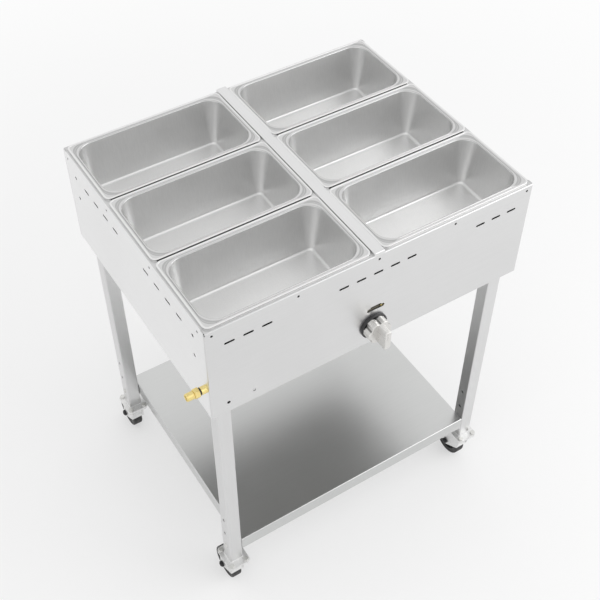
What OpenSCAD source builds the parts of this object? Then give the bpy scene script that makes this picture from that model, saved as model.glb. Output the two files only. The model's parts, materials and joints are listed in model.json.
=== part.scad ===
// Mobile gas steam table: a folded steel cabinet with six lift-out pans on square legs,
// a low shelf and four swivel casters. Millimetres, +Z up, origin under the middle of its box.
// Inside place(), x runs from the left face, y from the front face and z from the floor.

/* [Cabinet] */
// Width of the cabinet, left to right
cabinet_w = 680; // [640:5:760]
// Depth of the cabinet, front to back
cabinet_d = 550; // [520:5:620]
// Height of the cabinet's sides
cabinet_h = 225; // [215:5:260]
// Height of the cabinet top above the floor
table_top_z = 872; // [780:1:950]
// Thickness of the folded sheet
sheet_t = 1.2; // [0.8:0.1:1.5]
// Width of the flange turned in along the top
top_return_w = 12.5; // [11:0.5:12.5]
// Width of the flange turned in along the bottom
bottom_return_w = 15; // [10:0.5:16]
// How far the front and back sheets turn round the corners
corner_return = 3; // [2:0.5:3]
// Diameter of the relief hole at each top corner
relief_d = 2.6; // [1:0.2:4]
// Distance of the relief hole below the cabinet top
relief_drop = 4; // [3:0.5:8]

/* [Panel holes] */
// Length of a vent slot
slot_l = 20; // [12:1:26]
// Height of a vent slot
slot_h = 4.5; // [2:0.5:6]
// Distance of the slots below the cabinet top
slot_drop = 43; // [34:1:60]
// Pitch of the vent slots on the long sides
front_slot_pitch = 35.75; // [30:0.25:38]
// Pitch of the vent slots on the short sides
side_slot_pitch = 40.6; // [30:0.1:45]
// Distance from the cabinet end to the first long-side slot
front_slot_edge = 44.3; // [30:0.1:60]
// Diameter of the small fixing holes
small_hole_d = 4; // [2:0.5:6]
// Distance of the small holes below the top on the long sides
small_hole_drop = 11; // [9:0.5:20]
// Pitch of the small holes on the long sides
small_hole_pitch = 163.4; // [130:0.2:165]
// Distance of the small holes below the top on the short sides
side_small_hole_drop = 15.5; // [9:0.5:25]
// Distance of the first small hole on a short side from the front face
side_small_front = 24.9; // [12:0.1:35]
// Distance of the last small hole on a short side from the back face
side_small_back = 16.1; // [12:0.1:35]
// Diameter of the accessory holes
accessory_hole_d = 7; // [5:0.5:9]
// Drop of the upper accessory holes on the short sides
accessory_drop = 43.3; // [34:0.1:60]
// Spacing between the upper and lower accessory holes
accessory_spacing = 50.2; // [30:0.1:70]
// Distance of the accessory holes from the cabinet's front and back
accessory_edge = 44.2; // [40:0.1:60]
// Height of the two low holes at the left of the front above the cabinet's lower edge
low_hole_rise = 27; // [25:0.5:35]
// Distance of the first low hole from the left face
low_hole_edge = 34.5; // [30:0.5:60]
// Spacing of the two low holes
low_hole_spacing = 51.2; // [30:0.1:70]

/* [Lighting port] */
// Width of the lighting port
port_w = 38; // [30:1:50]
// Height of the lighting port at its ends
port_h = 8; // [6:0.5:12]
// Extra height of the port's raised middle
port_step_h = 3; // [1:0.5:5]
// Width of the raised middle
port_step_w = 24; // [10:1:28]
// Drop of the lighting port's middle below the top
port_drop = 134.7; // [132:0.1:140]

/* [Divider bar] */
// Width of the raised divider bar
divider_w = 21.5; // [16:0.5:30]
// Height of the bar above the cabinet top
divider_rise = 6; // [4.5:0.5:10]
// Width of the bar's side flange under the pan rims
divider_flange_w = 8.5; // [6:0.5:9]

/* [Pans] */
// Depth of a pan below its rim
pan_depth = 100; // [65:5:105]
// Sheet thickness of a pan
pan_t = 1; // [0.6:0.1:1.2]
// Width of the pan's flat rim
rim_w = 8.5; // [8:0.5:10]
// Height of the rim above the cabinet top
rim_stand = 4; // [3.5:0.5:6]
// Width of the rounded edge round the rim
bead_w = 4; // [3:0.5:5]
// Height of the rounded edge above the rim
bead_h = 1; // [0.6:0.1:1.5]
// Corner radius of the rim's outer edge
rim_corner_r = 12; // [8:1:16]
// Corner radius of the pan's mouth
mouth_r = 34; // [28:1:45]
// Rounding from the rim down into the wall
mouth_round = 2.5; // [2:0.5:3]
// How much each wall leans in from mouth to floor
wall_taper = 13.5; // [8:0.5:16]
// Radius between the wall and the floor
floor_round = 6; // [4:0.5:8]
// Corner radius of the pan where its walls reach that rounding
floor_r = 12; // [10:1:20]
// Gap between neighbouring pan rims
row_gap = 3.2; // [1:0.1:5]
// Gap between a rim and the cabinet's front or back face
row_margin = 4.8; // [2:0.1:8]
// Gap between a rim and the cabinet's end face
end_margin = 4.15; // [2:0.05:8]
// Gap between a rim and the divider bar
bar_gap = 0.6; // [0.3:0.1:2]

/* [Water tank] */
// Distance from the cabinet face to the tank wall
tank_gap = 10; // [8:0.5:10.5]
// Depth of the water tank
tank_h = 116; // [112:1:118]

/* [Legs and shelf] */
// Width of a square leg tube
leg_w = 30; // [25:1:36]
// Wall of a leg tube
leg_t = 1.5; // [1:0.1:3]
// Distance of the legs in from the cabinet faces
leg_inset = 17; // [17:0.5:24]
// Distance of the legs' tops below the cabinet top
leg_drop = 137; // [130:1:138]
// Pitch of the holes up each leg
leg_hole_pitch = 50.8; // [40:0.1:60]
// Diameter of the leg's accessory holes
leg_hole_d = 7; // [5:0.5:9]
// Height of the shelf's top face
shelf_top_z = 170; // [166:1:180]
// Depth of the shelf's turned-down lip
shelf_lip = 34; // [30:1:45]
// Thickness of the corner gussets
gusset_t = 2; // [1.5:0.5:3]
// Length of a corner gusset along each wall
gusset_w = 62; // [56:1:80]

/* [Control] */
// Drop of the knob's axis below the cabinet top
knob_drop = 177.5; // [172:0.5:185]
// Distance of the knob's axis left of the cabinet's middle
knob_left = 3.5; // [0:0.5:8]
// Diameter of the knob's black bezel
bezel_d = 56; // [54:1:60]
// Depth of the bezel
bezel_t = 6; // [5:0.5:9]
// Diameter of the knob's scalloped skirt
knob_d = 51; // [46:1:53]
// Length of the knob in front of the bezel
knob_l = 41; // [34:1:46]
// Length of the knob's skirt
skirt_l = 17; // [12:1:22]
// Width of the bar that is gripped
grip_w = 13; // [12:0.5:16]
// Height of the bar that is gripped
grip_h = 44; // [40:1:45]
// Radius of the valve stem
stem_r = 4; // [3:0.5:5]
// Radial clearance of a running fit
run_fit = 0.05; // [0.02:0.01:0.09]

/* [Gas line] */
// Drop of the gas pipe's axis below the cabinet top
pipe_drop = 146; // [145.5:0.5:150]
// Distance of the pipe's axis behind the front face
pipe_y = 10; // [9.6:0.1:10]
// Outer radius of the gas pipe
pipe_r = 6.35; // [5:0.05:6.5]
// Wall of the gas pipe
pipe_t = 1.2; // [0.8:0.1:2]
// How far the inlet stands out from the left face
inlet_reach = 40; // [36:1:50]
// Radius of the inlet's collar and sleeve
inlet_r = 7.5; // [7.2:0.1:8]
// Width over the flats of the inlet's hex
inlet_hex = 17.5; // [16.5:0.5:19]
// Radius of the inlet's tapped mouth
inlet_bore_r = 5.55; // [5.3:0.05:5.8]
// Length of the inlet's tapped mouth
inlet_bore_l = 14; // [10:1:18]

/* [Burner] */
// Length of the burner bar
burner_l = 400; // [300:10:480]
// Outer radius of the burner bar
burner_r = 16; // [14:0.5:18]
// Outer radius of the mixing tube
mixer_r = 12; // [10:0.5:13]
// Radius of the mixing tube's mouth
mouth_bell_r = 18; // [16:0.5:20]
// Wall of the burner tubes
burner_t = 1.5; // [1:0.1:2]
// Diameter of a flame port
flame_port_d = 3; // [1.5:0.5:4]
// Number of flame ports along the bar
flame_ports = 20; // [10:2:24]

/* [Casters] */
// Radius of the wheel
wheel_r = 37.5; // [35:0.5:38]
// Width of the tyre
tyre_w = 23; // [20:0.5:25]
// Depth of the tyre's rubber
tyre_t = 7.5; // [5:0.5:10]
// Overall height from the floor to the leg's foot
caster_h = 102; // [100:1:106]
// Distance of the axle behind the swivel axis
trail = 26; // [22:0.5:28]
// Length of the mounting plate, front to back
plate_l = 62; // [60:1:66]
// Width of the mounting plate
plate_w = 50; // [48:1:56]
// Thickness of the foot plate on the leg
foot_plate_t = 3; // [2:0.5:4]
// Thickness of the caster's top plate
top_plate_t = 2.5; // [2:0.5:3]
// Spacing of the plate bolts, front to back
plate_bolt_l = 48; // [46:1:50]
// Spacing of the plate bolts, left to right
plate_bolt_w = 34; // [32:1:38]
// Radius of the caster axle
axle_r = 4; // [3:0.5:5]
// Thickness of the fork's sheet
fork_t = 2.5; // [2:0.5:3]
// Gap between the tyre and the fork's hood
hood_gap = 3; // [2:0.5:4]

/* [Hidden] */
$fn = 48;
CORNERS = ["front_left", "front_right", "back_left", "back_right"];
COLUMNS = ["left", "right"];
ROWS = ["front", "middle", "back"];

// Overrun of a cut past the face that it opens
over = 1;
// Gap between a moving face and its seat
seat_gap = 0.3;

// Heights of the cabinet
cabinet_low_z = table_top_z - cabinet_h;
return_z = table_top_z - sheet_t;
slot_z = table_top_z - slot_drop;

// Pan sizes from the cabinet that holds them
pan_l = (cabinet_w - divider_w) / 2 - bar_gap - end_margin;
pan_w = (cabinet_d - 2 * row_margin - 2 * row_gap) / 3;
pan_top_z = table_top_z + rim_stand;
wall_in = rim_w + mouth_round;
tank_floor_z = return_z - tank_h;

// Legs
leg_c = leg_inset + leg_w / 2;
leg_top_z = table_top_z - leg_drop;
shelf_bolt_z = caster_h + leg_hole_pitch;
shelf_bolt_r = 3;
shelf_head_r = 5.5;
shelf_head_t = 2.4;
shelf_nut_af = 10;
shelf_nut_t = 5;

// Control and gas line
knob_z = table_top_z - knob_drop;
pipe_z = table_top_z - pipe_drop;
control_x = cabinet_w / 2 - knob_left;
knob_back_y = -bezel_t - seat_gap;
knob_front_y = knob_back_y - knob_l;
skirt_r = knob_d / 2;
scallops = 6;
scallop_r = 14;
scallop_depth = 3.5;
skirt_root_r = skirt_r - scallop_depth;
grip_round = 3;
pointer_w = 3;
pointer_t = 0.8;
stem_hole_r = 7;
stem_in_knob = 24;
stem_in_valve = 26;
valve_front_y = 4;
valve_l = 40;
valve_r = 12;
valve_boss_r = 5.5;
pipe_tap_r = 2.75;
screw_r = 2;
screw_recess = 1;
screw_y = knob_back_y - skirt_l / 2;
pipe_start_x = 14;
pipe_past_valve = 30;
cap_t = 1.6;
cap_l = 12;
clip_w = 12;
clip_t = 1.6;
clip_shares = [0.25, 0.75];
collar_l = 12;
groove_l = 3;
inlet_core_r = 6.5;
hex_l = 10;

// Burner, along the control's own axis height
burner_y = cabinet_d / 2;
valve_back_y = valve_front_y + valve_l;
injector_hex = 14;
injector_hex_l = 6;
nozzle_l = 8;
nozzle_r = 4;
orifice_r = 0.75;
nozzle_in_bell = 2;
mixer_start_y = valve_back_y + injector_hex_l + nozzle_l - nozzle_in_bell;
bell_l = 14;
bell_taper_l = 26;
shutter_t = 1.5;
shutter_l = 10;
hanger_t = 2;
hanger_w = 44;
hanger_edge = 5;
hanger_share = 0.36;
hanger_past_bell = 12;
front_hanger_y = mixer_start_y + bell_l + bell_taper_l + hanger_past_bell;

// Casters
plate_round = 8;
bolt_r = 3;
bolt_af = 10;
bolt_head_t = 4;
bolt_tip = 1;
nut_t = 5;
foot_plate_z = caster_h - foot_plate_t;
top_plate_z = foot_plate_z - top_plate_t;
race_r = 20;
race_top_r = 17;
race_bore_r = 9;
crown_top_z = 86;
crown_front = 20;
crown_back = 36;
kingpin_r = 5;
kingpin_head_r = 8;
kingpin_head_t = 3;
hub_past_tyre = 1;
hub_half = tyre_w / 2 + hub_past_tyre;
hub_r = 10;
wheel_core_r = wheel_r - tyre_t;
rim_depth = 5;
rim_step = 1;
web_t = 6;
fork_in = hub_half + seat_gap;
fork_out = fork_in + fork_t;
boss_r = 11;
hood_r = wheel_r + hood_gap;
hood_t = 2;
hood_front_angle = 20;
hood_back_angle = 76;
boss_low_angle = 240;
axle_nut_af = 13;
axle_nut_t = 5.5;
axle_tip = 1.5;
shoulder_share = 0.45;
shoulder_r = shoulder_share * tyre_t;

// The box that the whole table fills, which fixes the origin
low_x = -inlet_reach;
high_x = cabinet_w;
low_y = knob_front_y - pointer_t;
high_y = cabinet_d - leg_c + trail + wheel_r;

module place() {
    translate([-(low_x + high_x) / 2, -(low_y + high_y) / 2, 0]) children();
}

// Which side corner c lies on, and the place of its leg
function corner_is_right(c) = c == 1 || c == 3;
function corner_is_back(c) = c > 1;
function corner_x(c) = corner_is_right(c) ? cabinet_w - leg_c : leg_c;
function corner_y(c) = corner_is_back(c) ? cabinet_d - leg_c : leg_c;

module at_corner(c) {
    translate([corner_x(c), corner_y(c), 0]) children();
}

// A solid drawn for the front left corner, turned over to corner c by mirrors
module mirror_to(c) {
    translate([corner_is_right(c) ? cabinet_w : 0, corner_is_back(c) ? cabinet_d : 0, 0])
        mirror([corner_is_right(c) ? 1 : 0, 0, 0])
            mirror([0, corner_is_back(c) ? 1 : 0, 0])
                children();
}

// A rod along x from x0 to x1 on the axis (y, z)
module rod_x(x0, x1, y, z, r, sides = $fn) {
    translate([x0, y, z]) rotate([0, 90, 0]) cylinder(r = r, h = x1 - x0, $fn = sides);
}

// A rod along y from y0 to y1 on the axis (x, z)
module rod_y(y0, y1, x, z, r, sides = $fn) {
    translate([x, y1, z]) rotate([90, 0, 0]) cylinder(r = r, h = y1 - y0, $fn = sides);
}

// A hexagonal prism along z, across flats af
module hex_z(af, h) {
    cylinder(r = af / 2 / cos(30), h = h, $fn = 6);
}

module slot_2d(l, h) {
    square([l - h, h], center = true);
    for (s = [-1, 1]) translate([s * (l - h) / 2, 0]) circle(d = h);
}

module rounded_2d(w, l, r) {
    square([w - 2 * r, l], center = true);
    square([w, l - 2 * r], center = true);
    for (sx = [-1, 1])
        for (sy = [-1, 1])
            translate([sx * (w / 2 - r), sy * (l / 2 - r)]) circle(r = r);
}

// Cuts a flat shape, drawn in x and z, through a sheet that faces the front
module through_front() {
    translate([0, sheet_t + over, 0]) rotate([90, 0, 0]) linear_extrude(sheet_t + 2 * over) children();
}

// Cuts a flat shape, drawn in y and z, through a sheet that faces the left
module through_side() {
    translate([-over, 0, 0]) rotate([90, 0, 90]) linear_extrude(sheet_t + 2 * over) children();
}

// Positions along a long side of the slots: three, five in the middle, three
function front_slot_xs() = concat(
    [for (i = [0:2]) front_slot_edge + i * front_slot_pitch],
    [for (i = [-2:2]) cabinet_w / 2 + i * front_slot_pitch],
    [for (i = [0:2]) cabinet_w - front_slot_edge - i * front_slot_pitch]);

// Positions along a short side of its slots: four each side of the middle
side_slot_first = 1.5 * side_slot_pitch;
function side_slot_ys() = [for (s = [-1, 1]) for (i = [0:3])
    cabinet_d / 2 + s * (side_slot_first + i * side_slot_pitch)];

side_small_run = cabinet_d - side_small_front - side_small_back;

module long_side_holes() {
    for (x = front_slot_xs()) translate([x, slot_z]) slot_2d(slot_l, slot_h);
    for (i = [-2:2])
        translate([cabinet_w / 2 + i * small_hole_pitch, table_top_z - small_hole_drop])
            circle(d = small_hole_d);
}

// A long sheet with its top and bottom flanges and its short corner returns
module long_sheet() {
    flange_l = cabinet_w - 2 * sheet_t;
    difference() {
        union() {
            translate([0, 0, cabinet_low_z]) cube([cabinet_w, sheet_t, cabinet_h]);
            translate([sheet_t, 0, return_z]) cube([flange_l, top_return_w, sheet_t]);
            translate([sheet_t, 0, cabinet_low_z]) cube([flange_l, bottom_return_w, sheet_t]);
            for (x = [0, cabinet_w - sheet_t])
                translate([x, 0, cabinet_low_z]) cube([sheet_t, corner_return, cabinet_h]);
        }
        through_front() long_side_holes();
        for (x = [0, cabinet_w])
            translate([x, 0, table_top_z - relief_drop])
                rotate([0, 90, x == 0 ? 45 : 135])
                    translate([0, 0, -corner_return]) cylinder(d = relief_d, h = 2 * corner_return);
    }
}

module port_2d() {
    translate([cabinet_w / 2, table_top_z - port_drop]) {
        square([port_w, port_h], center = true);
        translate([0, port_h / 2]) square([port_step_w, 2 * port_step_h], center = true);
    }
}

module front_panel() {
    color("gainsboro") difference() {
        long_sheet();
        through_front() port_2d();
        for (x = [low_hole_edge, low_hole_edge + low_hole_spacing])
            rod_y(-over, sheet_t + over, x, cabinet_low_z + low_hole_rise, accessory_hole_d / 2);
        rod_y(-over, sheet_t + over, control_x, knob_z, stem_hole_r);
    }
}

module back_panel() {
    color("gainsboro") translate([0, cabinet_d, 0]) mirror([0, 1, 0]) long_sheet();
}

// A short sheet between the two long ones, with its flanges
module short_sheet() {
    run = cabinet_d - 2 * corner_return;
    difference() {
        union() {
            translate([0, corner_return, cabinet_low_z]) cube([sheet_t, run, cabinet_h]);
            translate([0, top_return_w, return_z])
                cube([top_return_w, cabinet_d - 2 * top_return_w, sheet_t]);
            translate([0, bottom_return_w, cabinet_low_z])
                cube([bottom_return_w, cabinet_d - 2 * bottom_return_w, sheet_t]);
        }
        through_side() {
            for (y = side_slot_ys()) translate([y, slot_z]) slot_2d(slot_l, slot_h);
            for (i = [0:3])
                translate([side_small_front + i * side_small_run / 3,
                           table_top_z - side_small_hole_drop]) circle(d = small_hole_d);
            for (y = [accessory_edge, cabinet_d - accessory_edge])
                for (drop = [accessory_drop, accessory_drop + accessory_spacing])
                    translate([y, table_top_z - drop]) circle(d = accessory_hole_d);
        }
    }
}

module left_panel() {
    color("silver") difference() {
        short_sheet();
        rod_x(-over, sheet_t + over, pipe_y, pipe_z, inlet_core_r);
    }
}

module right_panel() {
    color("silver") translate([cabinet_w, 0, 0]) mirror([1, 0, 0]) short_sheet();
}

// Hat section: raised over the end flanges, with side flanges level with them between
module divider_bar() {
    inner_l = cabinet_d - 2 * top_return_w;
    top_z = table_top_z + divider_rise;
    color("whitesmoke") translate([cabinet_w / 2, 0, 0]) {
        translate([-divider_w / 2, 0, top_z - sheet_t]) cube([divider_w, cabinet_d, sheet_t]);
        for (y = [0, cabinet_d - sheet_t])
            translate([-divider_w / 2, y, table_top_z]) cube([divider_w, sheet_t, divider_rise]);
        for (s = [-1, 1]) {
            translate([s * (divider_w - sheet_t) / 2 - sheet_t / 2, 0, table_top_z])
                cube([sheet_t, cabinet_d, divider_rise]);
            translate([s * (divider_w - sheet_t) / 2 - sheet_t / 2, top_return_w, return_z])
                cube([sheet_t, inner_l, divider_rise]);
            translate([s * (divider_w + divider_flange_w) / 2 - divider_flange_w / 2,
                       top_return_w, return_z])
                cube([divider_flange_w, inner_l, sheet_t]);
        }
    }
}

module water_tank() {
    tank_l = cabinet_w - 2 * tank_gap;
    tank_w = cabinet_d - 2 * tank_gap;
    color("gray") translate([tank_gap, tank_gap, tank_floor_z]) difference() {
        cube([tank_l, tank_w, tank_h]);
        translate([sheet_t, sheet_t, sheet_t])
            cube([tank_l - 2 * sheet_t, tank_w - 2 * sheet_t, tank_h]);
    }
}

// One ring of a pan's surface: a rounded rectangle of half sizes hl and hw at height z
ring_steps = 6;
ring_n = 4 * ring_steps;
function ring_points(hl, hw, r, z) = [for (q = [0:3]) for (i = [0:ring_steps - 1])
    let (a = 90 * (q + i / (ring_steps - 1)),
         sx = (q == 0 || q == 3) ? 1 : -1,
         sy = q < 2 ? 1 : -1)
    [sx * (hl - r) + r * cos(a), sy * (hw - r) + r * sin(a), z]];

// Stations round the pan's section, as inset, height below the rim's top, corner radius
floor_in = wall_in + wall_taper;
rim_under = -bead_h - pan_t;
wall_start = -bead_h - mouth_round;
bead_steps = [0, 45, 90, 135, 180];
function bead_station(a) = let (inset = bead_w / 2 * (1 - cos(a)))
    [inset, -bead_h + bead_h * sin(a), rim_corner_r - inset];
function floor_station(a, t) = [floor_in - t + (floor_round + t) * (1 - cos(a)),
    -pan_depth - t + (floor_round + t) * (1 - sin(a)),
    floor_r + t - (floor_round + t) * (1 - cos(a))];
STATIONS = concat(
    [for (a = [90, 45, 0]) floor_station(a, pan_t)],
    [[wall_in - pan_t, wall_start, mouth_r + pan_t],
     [rim_w - pan_t, rim_under, mouth_r + mouth_round + pan_t],
     [pan_t, rim_under, rim_corner_r - pan_t],
     [pan_t, -rim_stand, rim_corner_r - pan_t],
     [0, -rim_stand, rim_corner_r]],
    [for (a = bead_steps) bead_station(a)],
    [[rim_w, -bead_h, mouth_r + mouth_round],
     [rim_w + mouth_round * (1 - cos(45)), -bead_h - mouth_round * (1 - sin(45)),
      mouth_r + mouth_round * cos(45)],
     [wall_in, wall_start, mouth_r]],
    [for (a = [0, 45, 90]) floor_station(a, 0)]);

module pan() {
    points = [for (s = STATIONS) each ring_points(pan_l / 2 - s[0], pan_w / 2 - s[0], s[2], s[1])];
    rings = len(STATIONS);
    walls = [for (k = [0:rings - 2]) for (i = [0:ring_n - 1]) let (j = (i + 1) % ring_n)
        [k * ring_n + i, (k + 1) * ring_n + i, (k + 1) * ring_n + j, k * ring_n + j]];
    underside = [for (i = [0:ring_n - 1]) i];
    floor_face = [for (i = [ring_n - 1:-1:0]) (rings - 1) * ring_n + i];
    polyhedron(points = points, faces = concat([underside], walls, [floor_face]), convexity = 6);
}

function pan_x(column) = column == 0
    ? end_margin + pan_l / 2
    : cabinet_w - end_margin - pan_l / 2;
function pan_y(row) = row_margin + pan_w / 2 + row * (pan_w + row_gap);

module pan_at(row, column) {
    color("lightgray") translate([pan_x(column), pan_y(row), pan_top_z]) pan();
}

// Square tube with three through holes; the lowest takes the shelf bolt
module leg(c) {
    inner = leg_w - 2 * leg_t;
    length = leg_top_z - caster_h;
    color("gainsboro") at_corner(c) difference() {
        translate([-leg_w / 2, -leg_w / 2, caster_h]) cube([leg_w, leg_w, length]);
        translate([-inner / 2, -inner / 2, caster_h - over]) cube([inner, inner, length + 2 * over]);
        rod_x(-leg_w / 2 - over, leg_w / 2 + over, 0, shelf_bolt_z, shelf_bolt_r);
        for (i = [1, 2])
            rod_x(-leg_w / 2 - over, leg_w / 2 + over, 0, shelf_bolt_z + i * leg_hole_pitch,
                  leg_hole_d / 2);
    }
}

// Lower gusset on the bottom flange with the leg through it, upper gusset over the leg's top
module corner_gussets() {
    low_gusset_z = cabinet_low_z + sheet_t;
    size = gusset_w - sheet_t;
    color("darkgray") for (c = [0:3]) mirror_to(c) {
        difference() {
            translate([sheet_t, sheet_t, low_gusset_z]) cube([size, size, gusset_t]);
            translate([leg_inset, leg_inset, low_gusset_z - over])
                cube([leg_w, leg_w, gusset_t + 2 * over]);
        }
        translate([sheet_t, sheet_t, leg_top_z]) cube([size, size, gusset_t]);
    }
}

// Four bolt places of a caster plate, about the swivel axis
module at_plate_bolts() {
    for (sx = [-1, 1])
        for (sy = [-1, 1])
            translate([sx * plate_bolt_w / 2, sy * plate_bolt_l / 2, 0]) children();
}

module drilled_plate(z, t) {
    translate([0, 0, z]) difference() {
        linear_extrude(t) rounded_2d(plate_w, plate_l, plate_round);
        at_plate_bolts() translate([0, 0, -over]) cylinder(r = bolt_r, h = t + 2 * over);
    }
}

module foot_plates() {
    color("silver") for (c = [0:3]) at_corner(c) drilled_plate(foot_plate_z, foot_plate_t);
}

// Bolts down through both plates, each with its nut below
module caster_bolts() {
    grip = foot_plate_t + top_plate_t;
    color("slategray") for (c = [0:3]) at_corner(c) at_plate_bolts() {
        translate([0, 0, caster_h]) hex_z(bolt_af, bolt_head_t);
        translate([0, 0, top_plate_z - nut_t - bolt_tip])
            cylinder(r = bolt_r, h = grip + nut_t + bolt_tip);
        translate([0, 0, top_plate_z - nut_t]) hex_z(bolt_af, nut_t);
    }
}

// Folded tray between the legs, open below
module shelf() {
    x0 = leg_inset + leg_w;
    shelf_w = cabinet_w - 2 * x0;
    shelf_d = cabinet_d - 2 * leg_inset;
    color("silver") difference() {
        translate([x0, leg_inset, shelf_top_z - shelf_lip]) cube([shelf_w, shelf_d, shelf_lip]);
        translate([x0 + sheet_t, leg_inset + sheet_t, shelf_top_z - shelf_lip - over])
            cube([shelf_w - 2 * sheet_t, shelf_d - 2 * sheet_t, shelf_lip - sheet_t + over]);
        for (y = [leg_c, cabinet_d - leg_c])
            rod_x(x0 - over, x0 + shelf_w + over, y, shelf_bolt_z, shelf_bolt_r);
    }
}

// Round-headed bolts through the legs into the shelf's lips, with nuts inside
module shelf_bolts() {
    lip_x = leg_inset + leg_w + sheet_t;
    color("slategray") for (c = [0:3]) mirror_to(c) {
        rod_x(leg_inset - shelf_head_t, leg_inset, leg_c, shelf_bolt_z, shelf_head_r);
        rod_x(leg_inset, lip_x + shelf_nut_t + bolt_tip, leg_c, shelf_bolt_z, shelf_bolt_r);
        translate([lip_x, leg_c, shelf_bolt_z]) rotate([0, 90, 0]) hex_z(shelf_nut_af, shelf_nut_t);
    }
}

module gas_pipe() {
    end_x = control_x + pipe_past_valve;
    color("darkkhaki") difference() {
        rod_x(pipe_start_x, end_x, pipe_y, pipe_z, pipe_r);
        rod_x(pipe_start_x - over, end_x + over, pipe_y, pipe_z, pipe_r - pipe_t);
        translate([control_x, pipe_y, pipe_z - pipe_r - over])
            cylinder(r = pipe_tap_r, h = pipe_r + over);
    }
}

module pipe_cap() {
    end_x = control_x + pipe_past_valve;
    color("goldenrod") difference() {
        rod_x(end_x - cap_l, end_x + cap_t, pipe_y, pipe_z, pipe_r + cap_t);
        rod_x(end_x - cap_l - over, end_x, pipe_y, pipe_z, pipe_r);
    }
}

// Saddles that hold the pipe off the front panel
module pipe_clips() {
    run = control_x - pipe_start_x;
    color("silver") for (s = clip_shares) translate([pipe_start_x + s * run, 0, 0]) difference() {
        union() {
            rod_x(-clip_w / 2, clip_w / 2, pipe_y, pipe_z, pipe_r + clip_t);
            translate([-clip_w / 2, sheet_t, pipe_z - pipe_r])
                cube([clip_w, pipe_y - sheet_t, 2 * pipe_r]);
        }
        rod_x(-clip_w, clip_w, pipe_y, pipe_z, pipe_r);
    }
}

// Brass inlet: collar on the left face, neck through it, sleeve with the tapped mouth
module inlet_adapter() {
    color("khaki") difference() {
        union() {
            rod_x(-collar_l, 0, pipe_y, pipe_z, inlet_r);
            rod_x(-inlet_reach, pipe_start_x, pipe_y, pipe_z, inlet_core_r);
            rod_x(-inlet_reach, -collar_l - groove_l - hex_l, pipe_y, pipe_z, inlet_r);
        }
        rod_x(-inlet_reach - over, pipe_start_x + over, pipe_y, pipe_z, pipe_r - pipe_t);
        rod_x(-inlet_reach - over, -inlet_reach + inlet_bore_l, pipe_y, pipe_z, inlet_bore_r);
    }
}

module inlet_hex_nut() {
    hex_x = -collar_l - groove_l - hex_l;
    color("gold") difference() {
        translate([hex_x, pipe_y, pipe_z]) rotate([0, 90, 0]) hex_z(inlet_hex, hex_l);
        rod_x(hex_x - over, hex_x + hex_l + over, pipe_y, pipe_z, inlet_core_r);
    }
}

module valve_body() {
    color("goldenrod") difference() {
        union() {
            rod_y(valve_front_y, valve_back_y, control_x, knob_z, valve_r);
            translate([control_x, pipe_y, knob_z]) cylinder(r = valve_boss_r, h = pipe_z - knob_z);
        }
        rod_x(control_x - valve_r, control_x + valve_r, pipe_y, pipe_z, pipe_r);
        rod_y(valve_front_y - over, valve_front_y + stem_in_valve, control_x, knob_z,
              stem_r + run_fit);
    }
}

module injector() {
    hex_y = valve_back_y;
    color("gold") difference() {
        union() {
            rod_y(hex_y, hex_y + injector_hex_l, control_x, knob_z,
                  injector_hex / 2 / cos(30), sides = 6);
            rod_y(hex_y, hex_y + injector_hex_l + nozzle_l, control_x, knob_z, nozzle_r);
        }
        rod_y(hex_y - over, hex_y + injector_hex_l + nozzle_l + over, control_x, knob_z, orifice_r);
    }
}

// Turned profile of the mixing tube, shrunk by t for its bore
module mixer_outline(t) {
    length = burner_y - mixer_start_y;
    polygon([[0, 0], [mouth_bell_r - t, 0], [mouth_bell_r - t, bell_l],
             [mixer_r - t, bell_l + bell_taper_l], [mixer_r - t, length], [0, length]]);
}

module mixing_tube() {
    color("dimgray") difference() {
        translate([control_x, mixer_start_y, knob_z]) rotate([-90, 0, 0]) rotate_extrude() difference() {
            mixer_outline(0);
            translate([0, -over]) square([mouth_bell_r - burner_t, over + bell_l]);
            mixer_outline(burner_t);
        }
        rod_x(control_x - burner_r, control_x + burner_r, burner_y, knob_z, burner_r);
    }
}

module air_shutter() {
    y0 = mixer_start_y;
    color("silver") difference() {
        rod_y(y0, y0 + shutter_l, control_x, knob_z, mouth_bell_r + shutter_t);
        rod_y(y0 - over, y0 + shutter_l + over, control_x, knob_z, mouth_bell_r);
    }
}

// Closed tube across the table with one row of flame ports on top
module burner_bar() {
    x0 = control_x - burner_l / 2;
    x1 = control_x + burner_l / 2;
    port_pitch = burner_l / (flame_ports + 1);
    color("dimgray") difference() {
        rod_x(x0, x1, burner_y, knob_z, burner_r);
        rod_x(x0 + burner_t, x1 - burner_t, burner_y, knob_z, burner_r - burner_t);
        rod_y(burner_y - burner_r, burner_y, control_x, knob_z, mixer_r - burner_t);
        for (i = [1:flame_ports])
            translate([x0 + i * port_pitch, burner_y, knob_z])
                cylinder(d = flame_port_d, h = burner_r + over);
    }
}

// Flat straps from the tank floor: two round the burner bar, one round the mixing tube
module burner_hangers() {
    color("gray") {
        for (s = [-1, 1]) difference() {
            translate([control_x + s * hanger_share * burner_l - hanger_t / 2,
                       burner_y - hanger_w / 2, knob_z - burner_r - hanger_edge])
                cube([hanger_t, hanger_w, tank_floor_z - knob_z + burner_r + hanger_edge]);
            rod_x(control_x - burner_l, control_x + burner_l, burner_y, knob_z, burner_r);
        }
        difference() {
            translate([control_x - hanger_w / 2, front_hanger_y - hanger_t / 2,
                       knob_z - mixer_r - hanger_edge])
                cube([hanger_w, hanger_t, tank_floor_z - knob_z + mixer_r + hanger_edge]);
            rod_y(front_hanger_y - hanger_t, front_hanger_y + hanger_t, control_x, knob_z, mixer_r);
        }
    }
}

module knob_bezel() {
    color("black") difference() {
        rod_y(-bezel_t, 0, control_x, knob_z, bezel_d / 2);
        rod_y(-bezel_t - over, over, control_x, knob_z, stem_hole_r);
    }
}

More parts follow.
